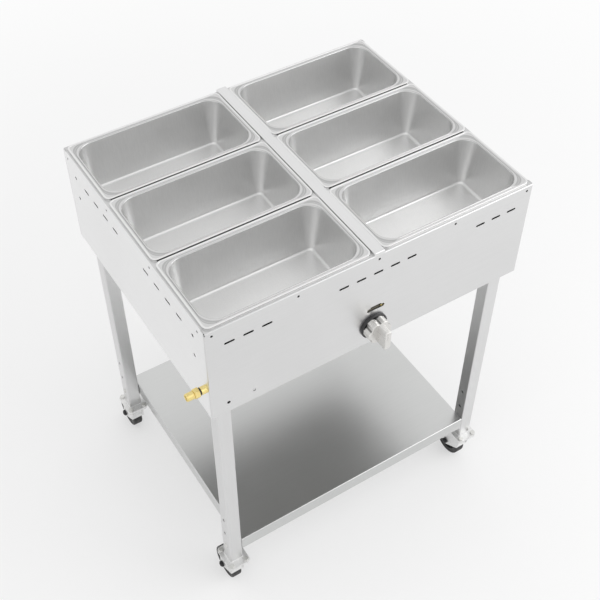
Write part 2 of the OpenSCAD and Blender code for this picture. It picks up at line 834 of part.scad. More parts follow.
// Round skirt with a scallop at the top and five more about the axis
module skirt_outline() {
    difference() {
        circle(r = skirt_r);
        for (k = [1:scallops]) rotate(90 + 360 * k / scallops)
            translate([skirt_root_r + scallop_r, 0]) circle(r = scallop_r);
    }
}

module control_knob() {
    color("silver") difference() {
        union() {
            translate([control_x, knob_back_y, knob_z]) rotate([90, 0, 0]) {
                linear_extrude(skirt_l) skirt_outline();
                linear_extrude(knob_l) rounded_2d(grip_w, grip_h, grip_round);
            }
            translate([control_x - pointer_w / 2, knob_front_y - pointer_t, knob_z])
                cube([pointer_w, knob_l, grip_h / 2 - grip_round]);
        }
        rod_y(knob_back_y - stem_in_knob, knob_back_y + over, control_x, knob_z, stem_r);
        translate([control_x, screw_y, knob_z - skirt_r]) cylinder(r = screw_r, h = skirt_r);
    }
}

module valve_stem() {
    color("dimgray")
        rod_y(knob_back_y - stem_in_knob, valve_front_y + stem_in_valve - seat_gap,
              control_x, knob_z, stem_r);
}

module knob_set_screw() {
    screw_l = skirt_root_r - stem_r - screw_recess;
    color("dimgray") difference() {
        translate([control_x, screw_y, knob_z - stem_r - screw_l])
            cylinder(r = screw_r, h = screw_l + stem_r);
        rod_y(screw_y - knob_l, screw_y + knob_l, control_x, knob_z, stem_r);
    }
}

// Top plate with the riveted kingpin that the fork turns on
module caster_plate(c) {
    crown_low = crown_top_z - fork_t;
    head_z = crown_low - seat_gap - kingpin_head_t;
    color("silver") at_corner(c) {
        drilled_plate(top_plate_z, top_plate_t);
        translate([0, 0, head_z]) cylinder(r = kingpin_r, h = top_plate_z - head_z);
        translate([0, 0, head_z]) cylinder(r = kingpin_head_r, h = kingpin_head_t);
    }
}

// Side of the fork, drawn in y and z about the swivel axis
module fork_side_2d() {
    hood_out = hood_r + hood_t;
    difference() {
        union() {
            polygon([[-crown_front, crown_top_z], [crown_back, crown_top_z],
                     [trail + boss_r, wheel_r],
                     [trail + boss_r * cos(boss_low_angle), wheel_r + boss_r * sin(boss_low_angle)],
                     [trail - hood_out * cos(hood_front_angle),
                      wheel_r + hood_out * sin(hood_front_angle)],
                     [-crown_front, crown_top_z - fork_t]]);
            translate([trail, wheel_r]) circle(r = boss_r);
        }
        translate([trail, wheel_r]) circle(r = axle_r);
    }
}

// Sector between the hood's front and back edges, seen from the side
module hood_2d() {
    far = 2 * hood_r;
    difference() {
        circle(r = hood_r + hood_t);
        circle(r = hood_r);
        polygon([[0, 0], far * [-cos(hood_front_angle), sin(hood_front_angle)],
                 [-far, -far], [far, -far], far * [1, 0],
                 far * [cos(hood_back_angle), sin(hood_back_angle)]]);
    }
}

// Lays a shape drawn in y and z out along x from -half to half
module along_x(half, thickness) {
    translate([half, 0, 0]) rotate([90, 0, 90]) linear_extrude(thickness) children();
}

module caster_fork(c) {
    crown_low = crown_top_z - fork_t;
    race_h = top_plate_z - seat_gap - crown_top_z;
    color("silver") at_corner(c) difference() {
        union() {
            along_x(-fork_out, fork_t) fork_side_2d();
            along_x(fork_in, fork_t) fork_side_2d();
            translate([-fork_in, -crown_front, crown_low])
                cube([2 * fork_in, crown_front + crown_back, fork_t]);
            along_x(-fork_in, 2 * fork_in) translate([trail, wheel_r]) hood_2d();
            translate([0, 0, crown_top_z]) cylinder(r1 = race_r, r2 = race_top_r, h = race_h);
        }
        translate([0, 0, crown_top_z]) cylinder(r = race_bore_r, h = race_h + over);
        translate([0, 0, crown_low - over]) cylinder(r = kingpin_r + run_fit, h = fork_t + 2 * over);
    }
}

// Axle bolt with its head on the right of the fork and its nut on the left
module caster_axle(c) {
    nut_x = -fork_out - axle_nut_t;
    color("dimgray") at_corner(c) {
        rod_x(nut_x - axle_tip, fork_out, trail, wheel_r, axle_r);
        for (x = [nut_x, fork_out])
            translate([x, trail, wheel_r]) rotate([0, 90, 0]) hex_z(axle_nut_af, axle_nut_t);
    }
}

module wheel_core(c) {
    half = tyre_w / 2 - rim_step;
    bore_r = axle_r + run_fit;
    color("dimgray") at_corner(c) translate([0, trail, wheel_r]) rotate([0, 90, 0])
        rotate_extrude() {
            translate([bore_r, -hub_half]) square([hub_r - bore_r, 2 * hub_half]);
            translate([hub_r, -web_t / 2]) square([wheel_core_r - rim_depth - hub_r, web_t]);
            translate([wheel_core_r - rim_depth, -half]) square([rim_depth, 2 * half]);
        }
}

module tyre(c) {
    color("black") at_corner(c) translate([0, trail, wheel_r]) rotate([0, 90, 0])
        rotate_extrude() {
            translate([wheel_core_r, -tyre_w / 2]) square([tyre_t - shoulder_r, tyre_w]);
            translate([wheel_core_r, -tyre_w / 2 + shoulder_r])
                square([tyre_t, tyre_w - 2 * shoulder_r]);
            for (s = [-1, 1])
                translate([wheel_r - shoulder_r, s * (tyre_w / 2 - shoulder_r)])
                    circle(r = shoulder_r);
        }
}

place() {
    front_panel();
    back_panel();
    left_panel();
    right_panel();
    divider_bar();
    water_tank();
    corner_gussets();
    foot_plates();
    shelf();
    shelf_bolts();
    caster_bolts();
    gas_pipe();
    pipe_cap();
    pipe_clips();
    inlet_adapter();
    inlet_hex_nut();
    valve_body();
    injector();
    mixing_tube();
    air_shutter();
    burner_bar();
    burner_hangers();
    knob_bezel();
    control_knob();
    valve_stem();
    knob_set_screw();
    for (c = [0:3]) {
        leg(c);
        caster_plate(c);
        caster_fork(c);
        caster_axle(c);
        wheel_core(c);
        tyre(c);
    }
    for (r = [0:2])
        for (col = [0:1])
            pan_at(r, col);
}
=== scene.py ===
"""Finishes a mobile gas steam table: sheet folds, pans, legs, casters, control and gas inlet."""

import json
import math

import bmesh
import bpy
from bpy.props import FloatProperty, FloatVectorProperty, IntProperty, PointerProperty
from mathutils import Euler, Matrix, Vector

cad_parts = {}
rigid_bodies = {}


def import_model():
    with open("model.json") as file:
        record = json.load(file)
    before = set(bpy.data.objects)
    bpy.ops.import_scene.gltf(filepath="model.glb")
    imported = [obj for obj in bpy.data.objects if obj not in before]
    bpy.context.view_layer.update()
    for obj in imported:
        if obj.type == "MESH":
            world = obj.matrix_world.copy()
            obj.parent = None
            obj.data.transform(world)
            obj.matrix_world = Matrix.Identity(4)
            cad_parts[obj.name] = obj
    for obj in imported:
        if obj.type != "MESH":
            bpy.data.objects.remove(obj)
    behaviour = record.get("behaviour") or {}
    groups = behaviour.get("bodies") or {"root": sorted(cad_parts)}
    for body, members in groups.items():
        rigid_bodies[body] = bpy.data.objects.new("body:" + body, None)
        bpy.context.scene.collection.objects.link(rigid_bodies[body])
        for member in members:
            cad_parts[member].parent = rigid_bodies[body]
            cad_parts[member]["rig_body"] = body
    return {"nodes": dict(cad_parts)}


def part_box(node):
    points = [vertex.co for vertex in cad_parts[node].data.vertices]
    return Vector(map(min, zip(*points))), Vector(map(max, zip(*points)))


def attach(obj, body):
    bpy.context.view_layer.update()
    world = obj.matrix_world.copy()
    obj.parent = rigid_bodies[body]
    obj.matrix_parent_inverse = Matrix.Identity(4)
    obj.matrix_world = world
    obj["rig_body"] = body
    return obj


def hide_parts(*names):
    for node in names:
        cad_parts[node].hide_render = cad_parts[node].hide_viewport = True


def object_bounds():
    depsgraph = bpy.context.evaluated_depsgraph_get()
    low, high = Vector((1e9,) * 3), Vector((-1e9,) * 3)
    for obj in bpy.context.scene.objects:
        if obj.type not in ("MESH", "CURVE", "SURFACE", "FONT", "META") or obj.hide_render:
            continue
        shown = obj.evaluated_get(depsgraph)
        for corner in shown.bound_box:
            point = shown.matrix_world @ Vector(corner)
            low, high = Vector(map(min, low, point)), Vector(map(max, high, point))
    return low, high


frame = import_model()
cad_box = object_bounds()

bl_info = {
    "name": "Mobile Steam Table",
    "version": (1, 0, 0),
    "blender": (4, 5, 0),
    "location": "View3D > Sidebar > Steam Table",
    "description": "Builds the folded sheets, pans, legs, casters, control and gas inlet",
    "category": "Add Mesh",
}

MM = 0.001
CORNERS = ("front_left", "front_right", "back_left", "back_right")
PANS = tuple(f"{row}_{side}" for row in ("front", "middle", "back") for side in ("left", "right"))

# Planes of the cabinet, from the frame
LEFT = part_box("left_panel")[0].x
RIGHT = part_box("right_panel")[1].x
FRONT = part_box("front_panel")[0].y
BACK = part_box("back_panel")[1].y
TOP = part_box("front_panel")[1].z
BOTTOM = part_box("front_panel")[0].z
WIDTH = RIGHT - LEFT
DEPTH = BACK - FRONT
HEIGHT = TOP - BOTTOM

# Steps of the small curves: bends of sheet, corners of pans, holes, threads and turned parts
BEND_STEPS = 5
CORNER_STEPS = 14
HOLE_STEPS = 28
THREAD_STEPS = 40
RIDGE_SIDES = 6
ROD_STEPS = 24
HEAD_STEPS = 36
HEXAGON_STEPS = 48
TURN_STEPS = 64
INLET_STEPS = 72
WIDE_STEPS = 96

# Edges sharper than this stay sharp: on sheets, on turned parts and on the inlet's hexagon
SHARP_ANGLE = math.radians(38)
TURNED_ANGLE = math.radians(30)
HEXAGON_ANGLE = math.radians(25)

# Points nearer than this are one: of a curve, a CAD mesh, a sheet's strips, the divider's ends
CURVE_GAP = 0.001 * MM
CAD_GAP = 0.004 * MM
STRIP_GAP = 0.01 * MM
HAT_GAP = 0.02 * MM

# A hexagon's flat end as a share of its flats, and the slope of its chamfer
HEXAGON_FACE = 0.47
HEXAGON_SLOPE = math.tan(math.radians(30))

# Height of a weld's ripple over its width
WELD_FLATNESS = 0.8

# Colours that the finishes wear, tarnish or weather to
WORN_BLACK = (0.16, 0.15, 0.14, 1.0)
SCALE_WHITE = (0.72, 0.71, 0.68, 1.0)
TARNISH = (0.66, 0.47, 0.17, 1.0)
HEAT_STRAW = (0.34, 0.24, 0.14, 1.0)
HEAT_BLUE = (0.14, 0.15, 0.20, 1.0)
FLOOR_DUST = (0.11, 0.105, 0.10, 1.0)
WHITE = (1.0, 1.0, 1.0, 1.0)


def distance(name, description, metres):
    return FloatProperty(
        name=name, description=description, default=metres, min=0.0, precision=5, unit="LENGTH"
    )


def length(name, description, size):
    """A length that the user can change, given in millimetres."""
    return distance(name, description, size * MM)


def colour(name, description, red, green, blue):
    return FloatVectorProperty(
        name=name,
        description=description,
        default=(red, green, blue),
        size=3,
        min=0.0,
        max=1.0,
        subtype="COLOR",
    )


def position(name, description, x, y, z):
    return FloatVectorProperty(
        name=name, description=description, default=(x, y, z), size=3, subtype="XYZ", unit="LENGTH"
    )


def rotation(name, description, degrees):
    return FloatProperty(
        name=name, description=description, default=math.radians(degrees), subtype="ANGLE"
    )


def share(name, description, value):
    return FloatProperty(
        name=name, description=description, default=value, min=0.0, max=1.0, subtype="FACTOR"
    )


def amount(name, description, value):
    return FloatProperty(name=name, description=description, default=value, min=0.0)


def number(name, description, value, least):
    return IntProperty(name=name, description=description, default=value, min=least)


class STEAMTABLE_PG_sheets(bpy.types.PropertyGroup):
    """Sizes of the folded sheets and of the holes in them."""

    thickness: length("Sheet thickness", "Thickness of the folded sheet", 1.2)
    bend: length("Bend radius", "Outer radius of a fold", 2.4)
    top_flange: length("Top flange", "Width of the flange along the top", 12.5)
    bottom_flange: length("Bottom flange", "Width of the flange along the bottom", 15)
    corner_return: length("Corner return", "How far the long sheets turn round a corner", 3)
    seam: length("Seam", "Open seam between two sheets", 0.35)
    edge_ease: length("Eased edge", "Rounding of a cut edge", 0.15)
    slot_length: length("Slot length", "Length of a vent slot", 20)
    slot_height: length("Slot height", "Height of a vent slot", 4.5)
    slot_drop: length("Slot drop", "Distance of the slots below the top", 43)
    long_slot_edge: length("Long-side slot edge", "Cabinet end to the first long-side slot", 44.3)
    long_slot_pitch: length("Long-side slot pitch", "Pitch of the long-side slots", 35.75)
    short_slot_pitch: length("Short-side slot pitch", "Pitch of the short-side slots", 40.6)
    small_hole: length("Small hole", "Diameter of a small fixing hole", 4.8)
    small_drop: length("Long-side small holes", "Their distance below the top", 11)
    small_pitch: length("Small hole pitch", "Pitch of the small holes on the long sides", 163.4)
    side_small_drop: length("Short-side small holes", "Their distance below the top", 15.5)
    side_small_front: length("First side hole", "Its distance from the front face", 24.9)
    side_small_back: length("Last side hole", "Its distance from the back face", 16.1)
    accessory_hole: length("Accessory hole", "Diameter of an accessory hole", 7)
    accessory_drop: length("Accessory drop", "Upper accessory holes below the top", 43.3)
    accessory_spacing: length("Accessory spacing", "Upper to lower accessory hole", 50.2)
    accessory_edge: length("Accessory edge", "Accessory holes from the front and back", 44.2)
    low_hole_drop: length("Low hole drop", "Low front holes below the top", 198)
    low_hole_edge: length("Low hole edge", "First low hole from the left face", 34.5)
    low_hole_spacing: length("Low hole spacing", "Spacing of the two low holes", 51.2)
    relief_hole: length("Relief hole", "Diameter of the relief hole at a corner", 2.6)
    relief_drop: length("Relief drop", "Relief hole below the top", 4)
    port_width: length("Port width", "Width of the lighting port", 38)
    port_height: length("Port height", "Height of the lighting port at its ends", 8)
    port_step: length("Port step", "Extra height of its raised middle", 3)
    port_step_width: length("Port step width", "Width of its raised middle", 24)
    port_drop: length("Port drop", "Middle of the lighting port below the top", 134.7)
    stem_hole: length("Stem hole", "Diameter of the hole behind the bezel", 14)
    inlet_hole: length("Inlet hole", "Diameter of the hole for the gas inlet", 13)


class STEAMTABLE_PG_divider(bpy.types.PropertyGroup):
    """Sizes of the raised bar between the two columns of pans."""

    flange: length("Flange", "Width of a side flange under the pan rims", 8.5)
    edge: length("Edge radius", "Rounding of the bar's top edges", 1.8)
    foot: length("Foot radius", "Rounding where a side meets its flange", 1.4)


class STEAMTABLE_PG_pans(bpy.types.PropertyGroup):
    """Sizes of a deep-drawn pan, down its face from the rim."""

    thickness: length("Pan thickness", "Thickness of the pan's sheet", 1)
    rim: length("Rim width", "Width of the flat rim", 8.5)
    rim_stand: length("Rim height", "Height of the rim above the cabinet", 4)
    bead: length("Bead width", "Width of the rounded edge", 4)
    bead_height: length("Bead height", "Height of the rounded edge", 1)
    rim_corner: length("Rim corner", "Corner radius of the rim", 12)
    crease: length("Crease", "Width of the coined crease round the mouth", 2.4)
    crease_depth: length("Crease depth", "Depth of the crease", 1.2)
    crease_from_mouth: length("Crease place", "Distance of the crease from the mouth", 1.8)
    mouth_corner: length("Mouth corner", "Corner radius of the mouth", 34)
    mouth_round: length("Mouth rounding", "Rounding from the rim into the wall", 2.5)
    taper: length("Taper", "How much a wall leans in down to the floor", 13.5)
    floor_round: length("Floor rounding", "Radius between the wall and the floor", 6)
    floor_corner: length("Floor corner", "Corner radius where the walls reach that", 12)
    floor_ring: length("Floor ring", "Width of the flat band round the floor", 3)


class STEAMTABLE_PG_legs(bpy.types.PropertyGroup):
    """Sizes of the legs, the shelf and their bolts."""

    wall: length("Tube wall", "Wall of a square leg tube", 1.5)
    edge: length("Tube edge", "Outer corner radius of the tube", 3)
    hole: length("Leg hole", "Diameter of an accessory hole in a leg", 7)
    pitch: length("Leg hole pitch", "Pitch of the holes up a leg", 50.8)
    bolt_hole: length("Bolt hole", "Diameter of the hole for the shelf bolt", 6)
    shelf_sheet: length("Shelf sheet", "Thickness of the shelf's sheet", 1.2)
    shelf_edge: length("Shelf edge", "Rounding of the shelf's folded edges", 2.4)
    bolt_head: length("Bolt head radius", "Radius of a shelf bolt's round head", 5.5)
    bolt_socket: length("Socket", "Width of the socket in the head, across flats", 3)
    nut: length("Nut", "Width of a nut over its flats", 10)
    nut_height: length("Nut height", "Height of a nut", 5)
    bead: length("Weld bead", "Radius of the weld bead at a leg's foot", 1.3)
    bead_pitch: length("Weld pitch", "Distance between the ripples of the weld", 1.9)


class STEAMTABLE_PG_casters(bpy.types.PropertyGroup):
    """Sizes of the casters."""

    plate_bolt_length: length("Bolt spacing, length", "Plate bolts front to back", 48)
    plate_bolt_width: length("Bolt spacing, width", "Plate bolts left to right", 34)
    bolt: length("Bolt diameter", "Diameter of a plate bolt", 6)
    bolt_flats: length("Bolt flats", "Width of a plate bolt's head over its flats", 10)
    bolt_head: length("Bolt head", "Height of a plate bolt's head", 4)
    nut: length("Nut height", "Height of a plate bolt's nut", 5)
    tip: length("Bolt tip", "How far a plate bolt stands out of its nut", 1)
    race_gap: length("Race gap", "Gap in the swivel race, where the balls would run", 0.3)
    axle: length("Axle diameter", "Diameter of the axle", 8)
    axle_clearance: length("Axle clearance", "Gap between the axle and the wheel's bore", 0.05)
    axle_flats: length("Axle flats", "Width of the axle's head and nut over the flats", 13)
    axle_head: length("Axle head", "Height of the axle's head and nut", 5.5)
    axle_tip: length("Axle tip", "How far the axle stands out of its nut", 1.5)
    tyre_depth: length("Tyre depth", "Depth of the tyre's rubber", 7.5)
    tyre_shoulder: length("Tyre shoulder", "Rounding of the tyre's shoulders", 3.4)
    tyre_groove: length("Tread groove", "Width of a groove in the tread", 0.9)
    tyre_groove_at: length("Groove place", "Distance of a groove from the tread's middle", 5.2)
    hub: length("Hub radius", "Radius of the wheel's hub", 10)
    rim_depth: length("Rim depth", "Depth of the wheel's rim", 5)
    rim_step: length("Rim step", "How far the rim's side lies inside the hub's end", 2)
    web: length("Web", "Thickness of the wheel's web", 6)
    rib: length("Rib", "Thickness of a rib on the web", 1.6)
    ribs: number("Ribs", "Ribs on each side of a wheel", 8, 3)
    fork_ease: length("Fork edge", "Rounding of a pressed steel edge", 0.45)
    plate_ease: length("Plate edge", "Rounding of a plate's edge", 0.35)


class STEAMTABLE_PG_control(bpy.types.PropertyGroup):
    """Sizes of the control knob and its bezel."""

    skirt: length("Skirt radius", "Radius of the scalloped skirt", 25.5)
    skirt_length: length("Skirt length", "Length of the skirt", 17)
    scallops: number("Scallops", "Scallops round the skirt", 6, 3)
    scallop: length("Scallop radius", "Radius of a scallop", 14)
    scallop_depth: length("Scallop depth", "Depth of a scallop", 3.5)
    grip: length("Grip width", "Width of the bar that is gripped", 13)
    grip_height: length("Grip height", "Height of the bar that is gripped", 44)
    grip_round: length("Grip rounding", "Rounding of the bar's long edges", 3)
    face_round: length("Face rounding", "Rounding of the knob's front edge", 1.6)
    groove: length("Groove width", "Width of a groove in the bar's sides", 1.6)
    groove_depth: length("Groove depth", "Depth of a groove", 0.9)
    groove_at: length("Groove place", "Distance of the grooves from the bar's middle", 7)
    pointer: length("Pointer width", "Width of the pointer", 3)
    pointer_height: length("Pointer height", "How far the pointer stands out", 0.8)
    pointer_sunk: length("Pointer depth", "How deep the pointer goes into the bar", 0.6)
    stem_hole: length("Stem hole", "Diameter of the hole through the bezel", 14)
    bezel_lip: length("Bezel lip", "Width of the bezel's raised lip", 1.4)
    bezel_chamfer: length("Bezel chamfer", "Chamfer of the bezel's outer edge", 1.6)
    marks: number("Marks", "Raised marks round the bezel", 36, 4)
    mark_length: length("Mark length", "Length of a mark, outwards", 1.8)
    mark_width: length("Mark width", "Width of a mark", 0.7)
    mark_height: length("Mark height", "Height of a mark", 0.6)


class STEAMTABLE_PG_gas(bpy.types.PropertyGroup):
    """Sizes of the brass gas inlet."""

    collar: length("Collar length", "Length of the collar on the cabinet", 12)
    groove: length("Groove length", "Length of the groove before the hex", 3)
    hexagon: length("Hexagon length", "Length of the hexagon", 10)
    flats: length("Hexagon flats", "Width of the hexagon over its flats", 17.5)
    radius: length("Sleeve radius", "Radius of the collar and the sleeve", 7.5)
    neck: length("Neck radius", "Radius of the neck", 6.5)
    tube: length("Bore radius", "Radius of the gas way", 5.15)
    mouth: length("Mouth radius", "Radius of the tapped mouth", 5.55)
    mouth_length: length("Mouth length", "Length of the tapped mouth", 14)
    chamfer: length("Chamfer", "Chamfer of the turned edges", 0.7)
    ring_width: length("Ring width", "Width of a ring turned into the collar", 1)
    ring_depth: length("Ring depth", "Depth of a ring turned into the collar", 0.35)
    taper_length: length("Taper length", "Length of the taper at the sleeve's end", 2.2)
    taper_depth: length("Taper depth", "How much the sleeve's end tapers in", 1)
    thread_pitch: length("Thread pitch", "Pitch of the thread in the mouth", 1.35)
    thread_height: length("Thread height", "Height of the thread", 0.4)


class STEAMTABLE_PG_finishes(bpy.types.PropertyGroup):
    """Colours of the finishes."""

    # The long and short sheets are one steel; the short sheets' lighter colour is painted light,
    # for the brighter light on the sides.
    sheet: colour("Long sheets", "Brushed sheet of the front and back", 0.70, 0.70, 0.70)
    side: colour("Short sheets", "Brushed sheet of the sides", 0.85, 0.85, 0.85)
    leg: colour("Leg", "Brushed stainless tube", 0.70, 0.70, 0.70)
    shelf: colour("Shelf", "Brushed stainless shelf", 0.62, 0.625, 0.62)
    divider: colour("Divider", "Brushed stainless bar", 0.74, 0.74, 0.74)
    pan: colour("Pan", "Deep-drawn stainless", 0.75, 0.75, 0.747)
    tank: colour("Tank", "Dull stainless of the water tank", 0.30, 0.30, 0.295)
    plain: colour("Plain steel", "Brackets inside the cabinet", 0.40, 0.40, 0.40)
    zinc: colour("Zinc", "Bright zinc plate of the casters", 0.80, 0.80, 0.795)
    bolt: colour("Bolt", "Plated bolts", 0.70, 0.70, 0.68)
    black_bolt: colour("Black bolt", "Blackened axle", 0.03, 0.03, 0.032)
    # Painted shade: the pipe is given a dark colour so that the lighting port looks dark, as the
    # inside of the cabinet lies in shade.
    pipe: colour("Pipe", "Drawn brass gas pipe, darkened by heat", 0.13, 0.12, 0.09)
    brass: colour("Brass", "Turned brass", 0.83, 0.69, 0.30)
    burner: colour("Burner", "Aluminised steel of the burner", 0.42, 0.41, 0.39)
    plastic: colour("Black plastic", "Moulded bezel", 0.016, 0.016, 0.017)
    knob: colour("Knob", "Silver of the knob", 0.70, 0.69, 0.67)
    wheel: colour("Wheel", "Moulded wheel", 0.035, 0.035, 0.036)
    rubber: colour("Rubber", "Tyre rubber", 0.022, 0.022, 0.023)


class STEAMTABLE_PG_stage(bpy.types.PropertyGroup):
    """The floor, the lamps and the camera."""

    floor_colour: colour("Floor", "Colour of the floor", 0.82, 0.82, 0.82)
    floor_radius: distance("Floor radius", "Radius of the round floor", 14.0)
    glow: share("Floor glow", "How much of the floor's white is there in the shade as well", 0.48)
    fade_start: distance("Fade start", "Where the floor starts to fade to white", 1.0)
    fade_end: distance("Fade end", "Where the floor is white", 3.0)
    sky: amount("Sky", "Light of the surroundings", 0.95)
    key: amount("Key lamp", "Power of the large lamp", 40.0)
    key_place: position("Key lamp place", "Middle of the large lamp", 2.3, -1.9, 2.0)
    key_size: distance("Key lamp size", "Width of the large lamp", 2.8)
    fill: amount("Fill lamp", "Power of the side lamp", 6.0)
    fill_place: position("Fill lamp place", "Middle of the side lamp", -2.6, -1.6, 2.0)
    fill_size: distance("Fill lamp size", "Width of the side lamp", 1.8)
    camera_place: position("Camera", "Place of the camera", -0.7665, -1.2535, 2.1169)
    camera_tilt: rotation("Tilt", "How far the camera looks up from straight down", 42.705)
    camera_turn: rotation("Turn", "How far the camera is turned about the upright", -32.387)
    camera_roll: rotation("Roll", "How far the camera is turned about its own axis", 0.136)
    lens: amount("Lens", "Focal length in millimetres", 62.54)


SETTINGS = {
    "sheets": STEAMTABLE_PG_sheets,
    "divider": STEAMTABLE_PG_divider,
    "pans": STEAMTABLE_PG_pans,
    "legs": STEAMTABLE_PG_legs,
    "casters": STEAMTABLE_PG_casters,
    "control": STEAMTABLE_PG_control,
    "gas": STEAMTABLE_PG_gas,
    "finishes": STEAMTABLE_PG_finishes,
    "stage": STEAMTABLE_PG_stage,
}


def settings(group):
    return getattr(bpy.context.scene, "steam_table_" + group)


class Link:
    """An output of a node. Arithmetic on it adds Math nodes to the same tree."""

    def __init__(self, nodes, socket):
        self.nodes = nodes
        self.socket = socket

    def output(self, name):
        return Link(self.nodes, self.socket.node.outputs[name])

    def maths(self, operation, first, second=0.0):
        return self.nodes.add("ShaderNodeMath", {"operation": operation}, {0: first, 1: second})

    def __add__(self, other):
        return self.maths("ADD", self, other)

    def __radd__(self, other):
        return self.maths("ADD", other, self)

    def __sub__(self, other):
        return self.maths("SUBTRACT", self, other)

    def __rsub__(self, other):
        return self.maths("SUBTRACT", other, self)

    def __mul__(self, other):
        return self.maths("MULTIPLY", self, other)

    def __rmul__(self, other):
        return self.maths("MULTIPLY", other, self)

    def __truediv__(self, other):
        return self.maths("DIVIDE", self, other)

    def __pow__(self, other):
        return self.maths("POWER", self, other)

    def __abs__(self):
        return self.maths("ABSOLUTE", self)

    def sign(self):
        return self.maths("SIGN", self)

    def sine(self):
        return self.maths("SINE", self)


class Nodes:
    """Adds nodes to one tree."""

    def __init__(self, tree):
        self.tree = tree

    def add(self, kind, choices=None, inputs=None):
        """A node of any type: first its settings are set, then its inputs' values or links."""
        node = self.tree.nodes.new(kind)
        for name, value in (choices or {}).items():
            setattr(node, name, value)
        for name, value in (inputs or {}).items():
            self.feed(node.inputs[name], value)
        return Link(self, next((s for s in node.outputs if s.enabled), None))

    def feed(self, socket, value):
        """Links an input to a link's socket, or gives it a plain value."""
        if isinstance(value, Link):
            self.tree.links.new(value.socket, socket)
        else:
            socket.default_value = value


def tinted(tint, level=1.0):
    """A settings colour at another level, with its alpha."""
    return tuple(min(1.0, part * level) for part in tint) + (1.0,)


def swing(pattern, reach):
    """A pattern between 0 and 1 as a swing to both sides of zero."""
    return reach * (pattern - 0.5)


class Finish(Nodes):
    """A procedural material whose patterns lie in the piece's own place."""

    def __init__(self, name):
        self.material = bpy.data.materials.new(name)
        self.material.use_nodes = True
        self.material.node_tree.nodes.clear()
        super().__init__(self.material.node_tree)
        self.place = self.add("ShaderNodeTexCoord").output("Object")

    def along(self, axis):
        """How far the place is along X, Y or Z."""
        return self.add("ShaderNodeSeparateXYZ", None, {0: self.place}).output(axis)

    def scaled(self, scale, turned_by=(0.0, 0.0, 0.0)):
        """The place, turned and stretched, so that a noise on it becomes a grain."""
        inputs = {"Vector": self.place, "Scale": scale, "Rotation": turned_by}
        return self.add("ShaderNodeMapping", None, inputs)

    def noise(self, spot=None, scale=1.0, detail=2.0):
        """A noise on the piece's own place, or on a stretched one."""
        inputs = {"Vector": spot or self.place, "Scale": scale, "Detail": detail}
        return self.add("ShaderNodeTexNoise", None, inputs)

    def cells(self, scale):
        """A chance value for each cell."""
        made = self.add("ShaderNodeTexVoronoi", None, {"Vector": self.place, "Scale": scale})
        return self.add("ShaderNodeSeparateColor", None, {"Color": made.output("Color")})

    def spread(self, value, low, high):
        """The value's range from low to high, laid softly over 0 to 1."""
        inputs = {"Value": value, "From Min": low, "From Max": high}
        return self.add("ShaderNodeMapRange", {"interpolation_type": "SMOOTHSTEP"}, inputs)

    def blend(self, factor, first, second):
        """A colour between two colours."""
        node = self.add("ShaderNodeMix", {"data_type": "RGBA"}).socket.node
        sockets = {socket.identifier: socket for socket in (*node.inputs, *node.outputs)}
        self.feed(sockets["Factor_Float"], factor)
        self.feed(sockets["A_Color"], first)
        self.feed(sockets["B_Color"], second)
        return Link(self, sockets["Result_Color"])

    def mottled(self, pattern, tint, low, high, darker, brighter):
        """The tint, darker where the pattern is low and brighter where it is high."""
        factor = self.spread(pattern, low, high)
        return self.blend(factor, tinted(tint, darker), tinted(tint, brighter))

    def painted_band(self, shade, tint, level, low, high):
        """Painted light or shade: the shade turns into another level of the tint from a low to a
        high place.
        """
        return self.blend(self.spread(self.along("Z"), low, high), shade, tinted(tint, level))

    def surface(self, tint, roughness, metallic, height, depth, coat=0.0):
        """Ends the material in its shader; height is a pattern that stands depth high."""
        bump_inputs = {"Height": height, "Strength": 1.0, "Distance": depth}
        bump = self.add("ShaderNodeBump", None, bump_inputs)
        inputs = {"Base Color": tint, "Roughness": roughness, "Metallic": metallic}
        inputs.update({"Coat Weight": coat, "Normal": bump})
        shader = self.add("ShaderNodeBsdfPrincipled", None, inputs)
        self.add("ShaderNodeOutputMaterial", None, {"Surface": shader})
        return self.material


def grain_scale(direction, along, across):
    """Scale of a noise that runs in one direction."""
    return tuple(along if axis == direction else across for axis in "XYZ")


def brushed(name, tint, direction, roughness, marks=1.0, top_flange_shade=1.0):
    """Brushed stainless: fine lines in one direction, clouds of handling, painted shade on the top
    flange.
    """
    made = Finish(name)
    fine = made.noise(made.scaled(grain_scale(direction, along=26.0, across=2600.0)), detail=3.0)
    broad = made.noise(made.scaled(grain_scale(direction, along=2.5, across=330.0)))
    cloud = made.noise(scale=5.5, detail=4.0)
    scuffs = made.noise(made.scaled((34.0, 900.0, 260.0), turned_by=(0.5, 0.3, 0.9)), detail=1.0)
    scuff = made.spread(scuffs, low=0.70, high=0.78)
    pattern = 0.35 * fine + 0.20 * broad + 0.45 * cloud
    shade = made.mottled(pattern, tint, low=0.34, high=0.66, darker=0.975, brighter=1.025)
    # Painted shade: above a height just under the top, the top flange is darkened to the given
    # level.
    if top_flange_shade != 1.0:
        shade = made.painted_band(shade, tint, top_flange_shade, low=TOP - 1.2 * MM, high=TOP - 0.4 * MM)
    rough = roughness + marks * (swing(fine, 0.06) + swing(cloud, 0.10) + 0.04 * scuff)
    height = fine - 0.3 * marks * scuff
    return made.surface(shade, rough, metallic=1.0, height=height, depth=0.0015 * MM * marks)


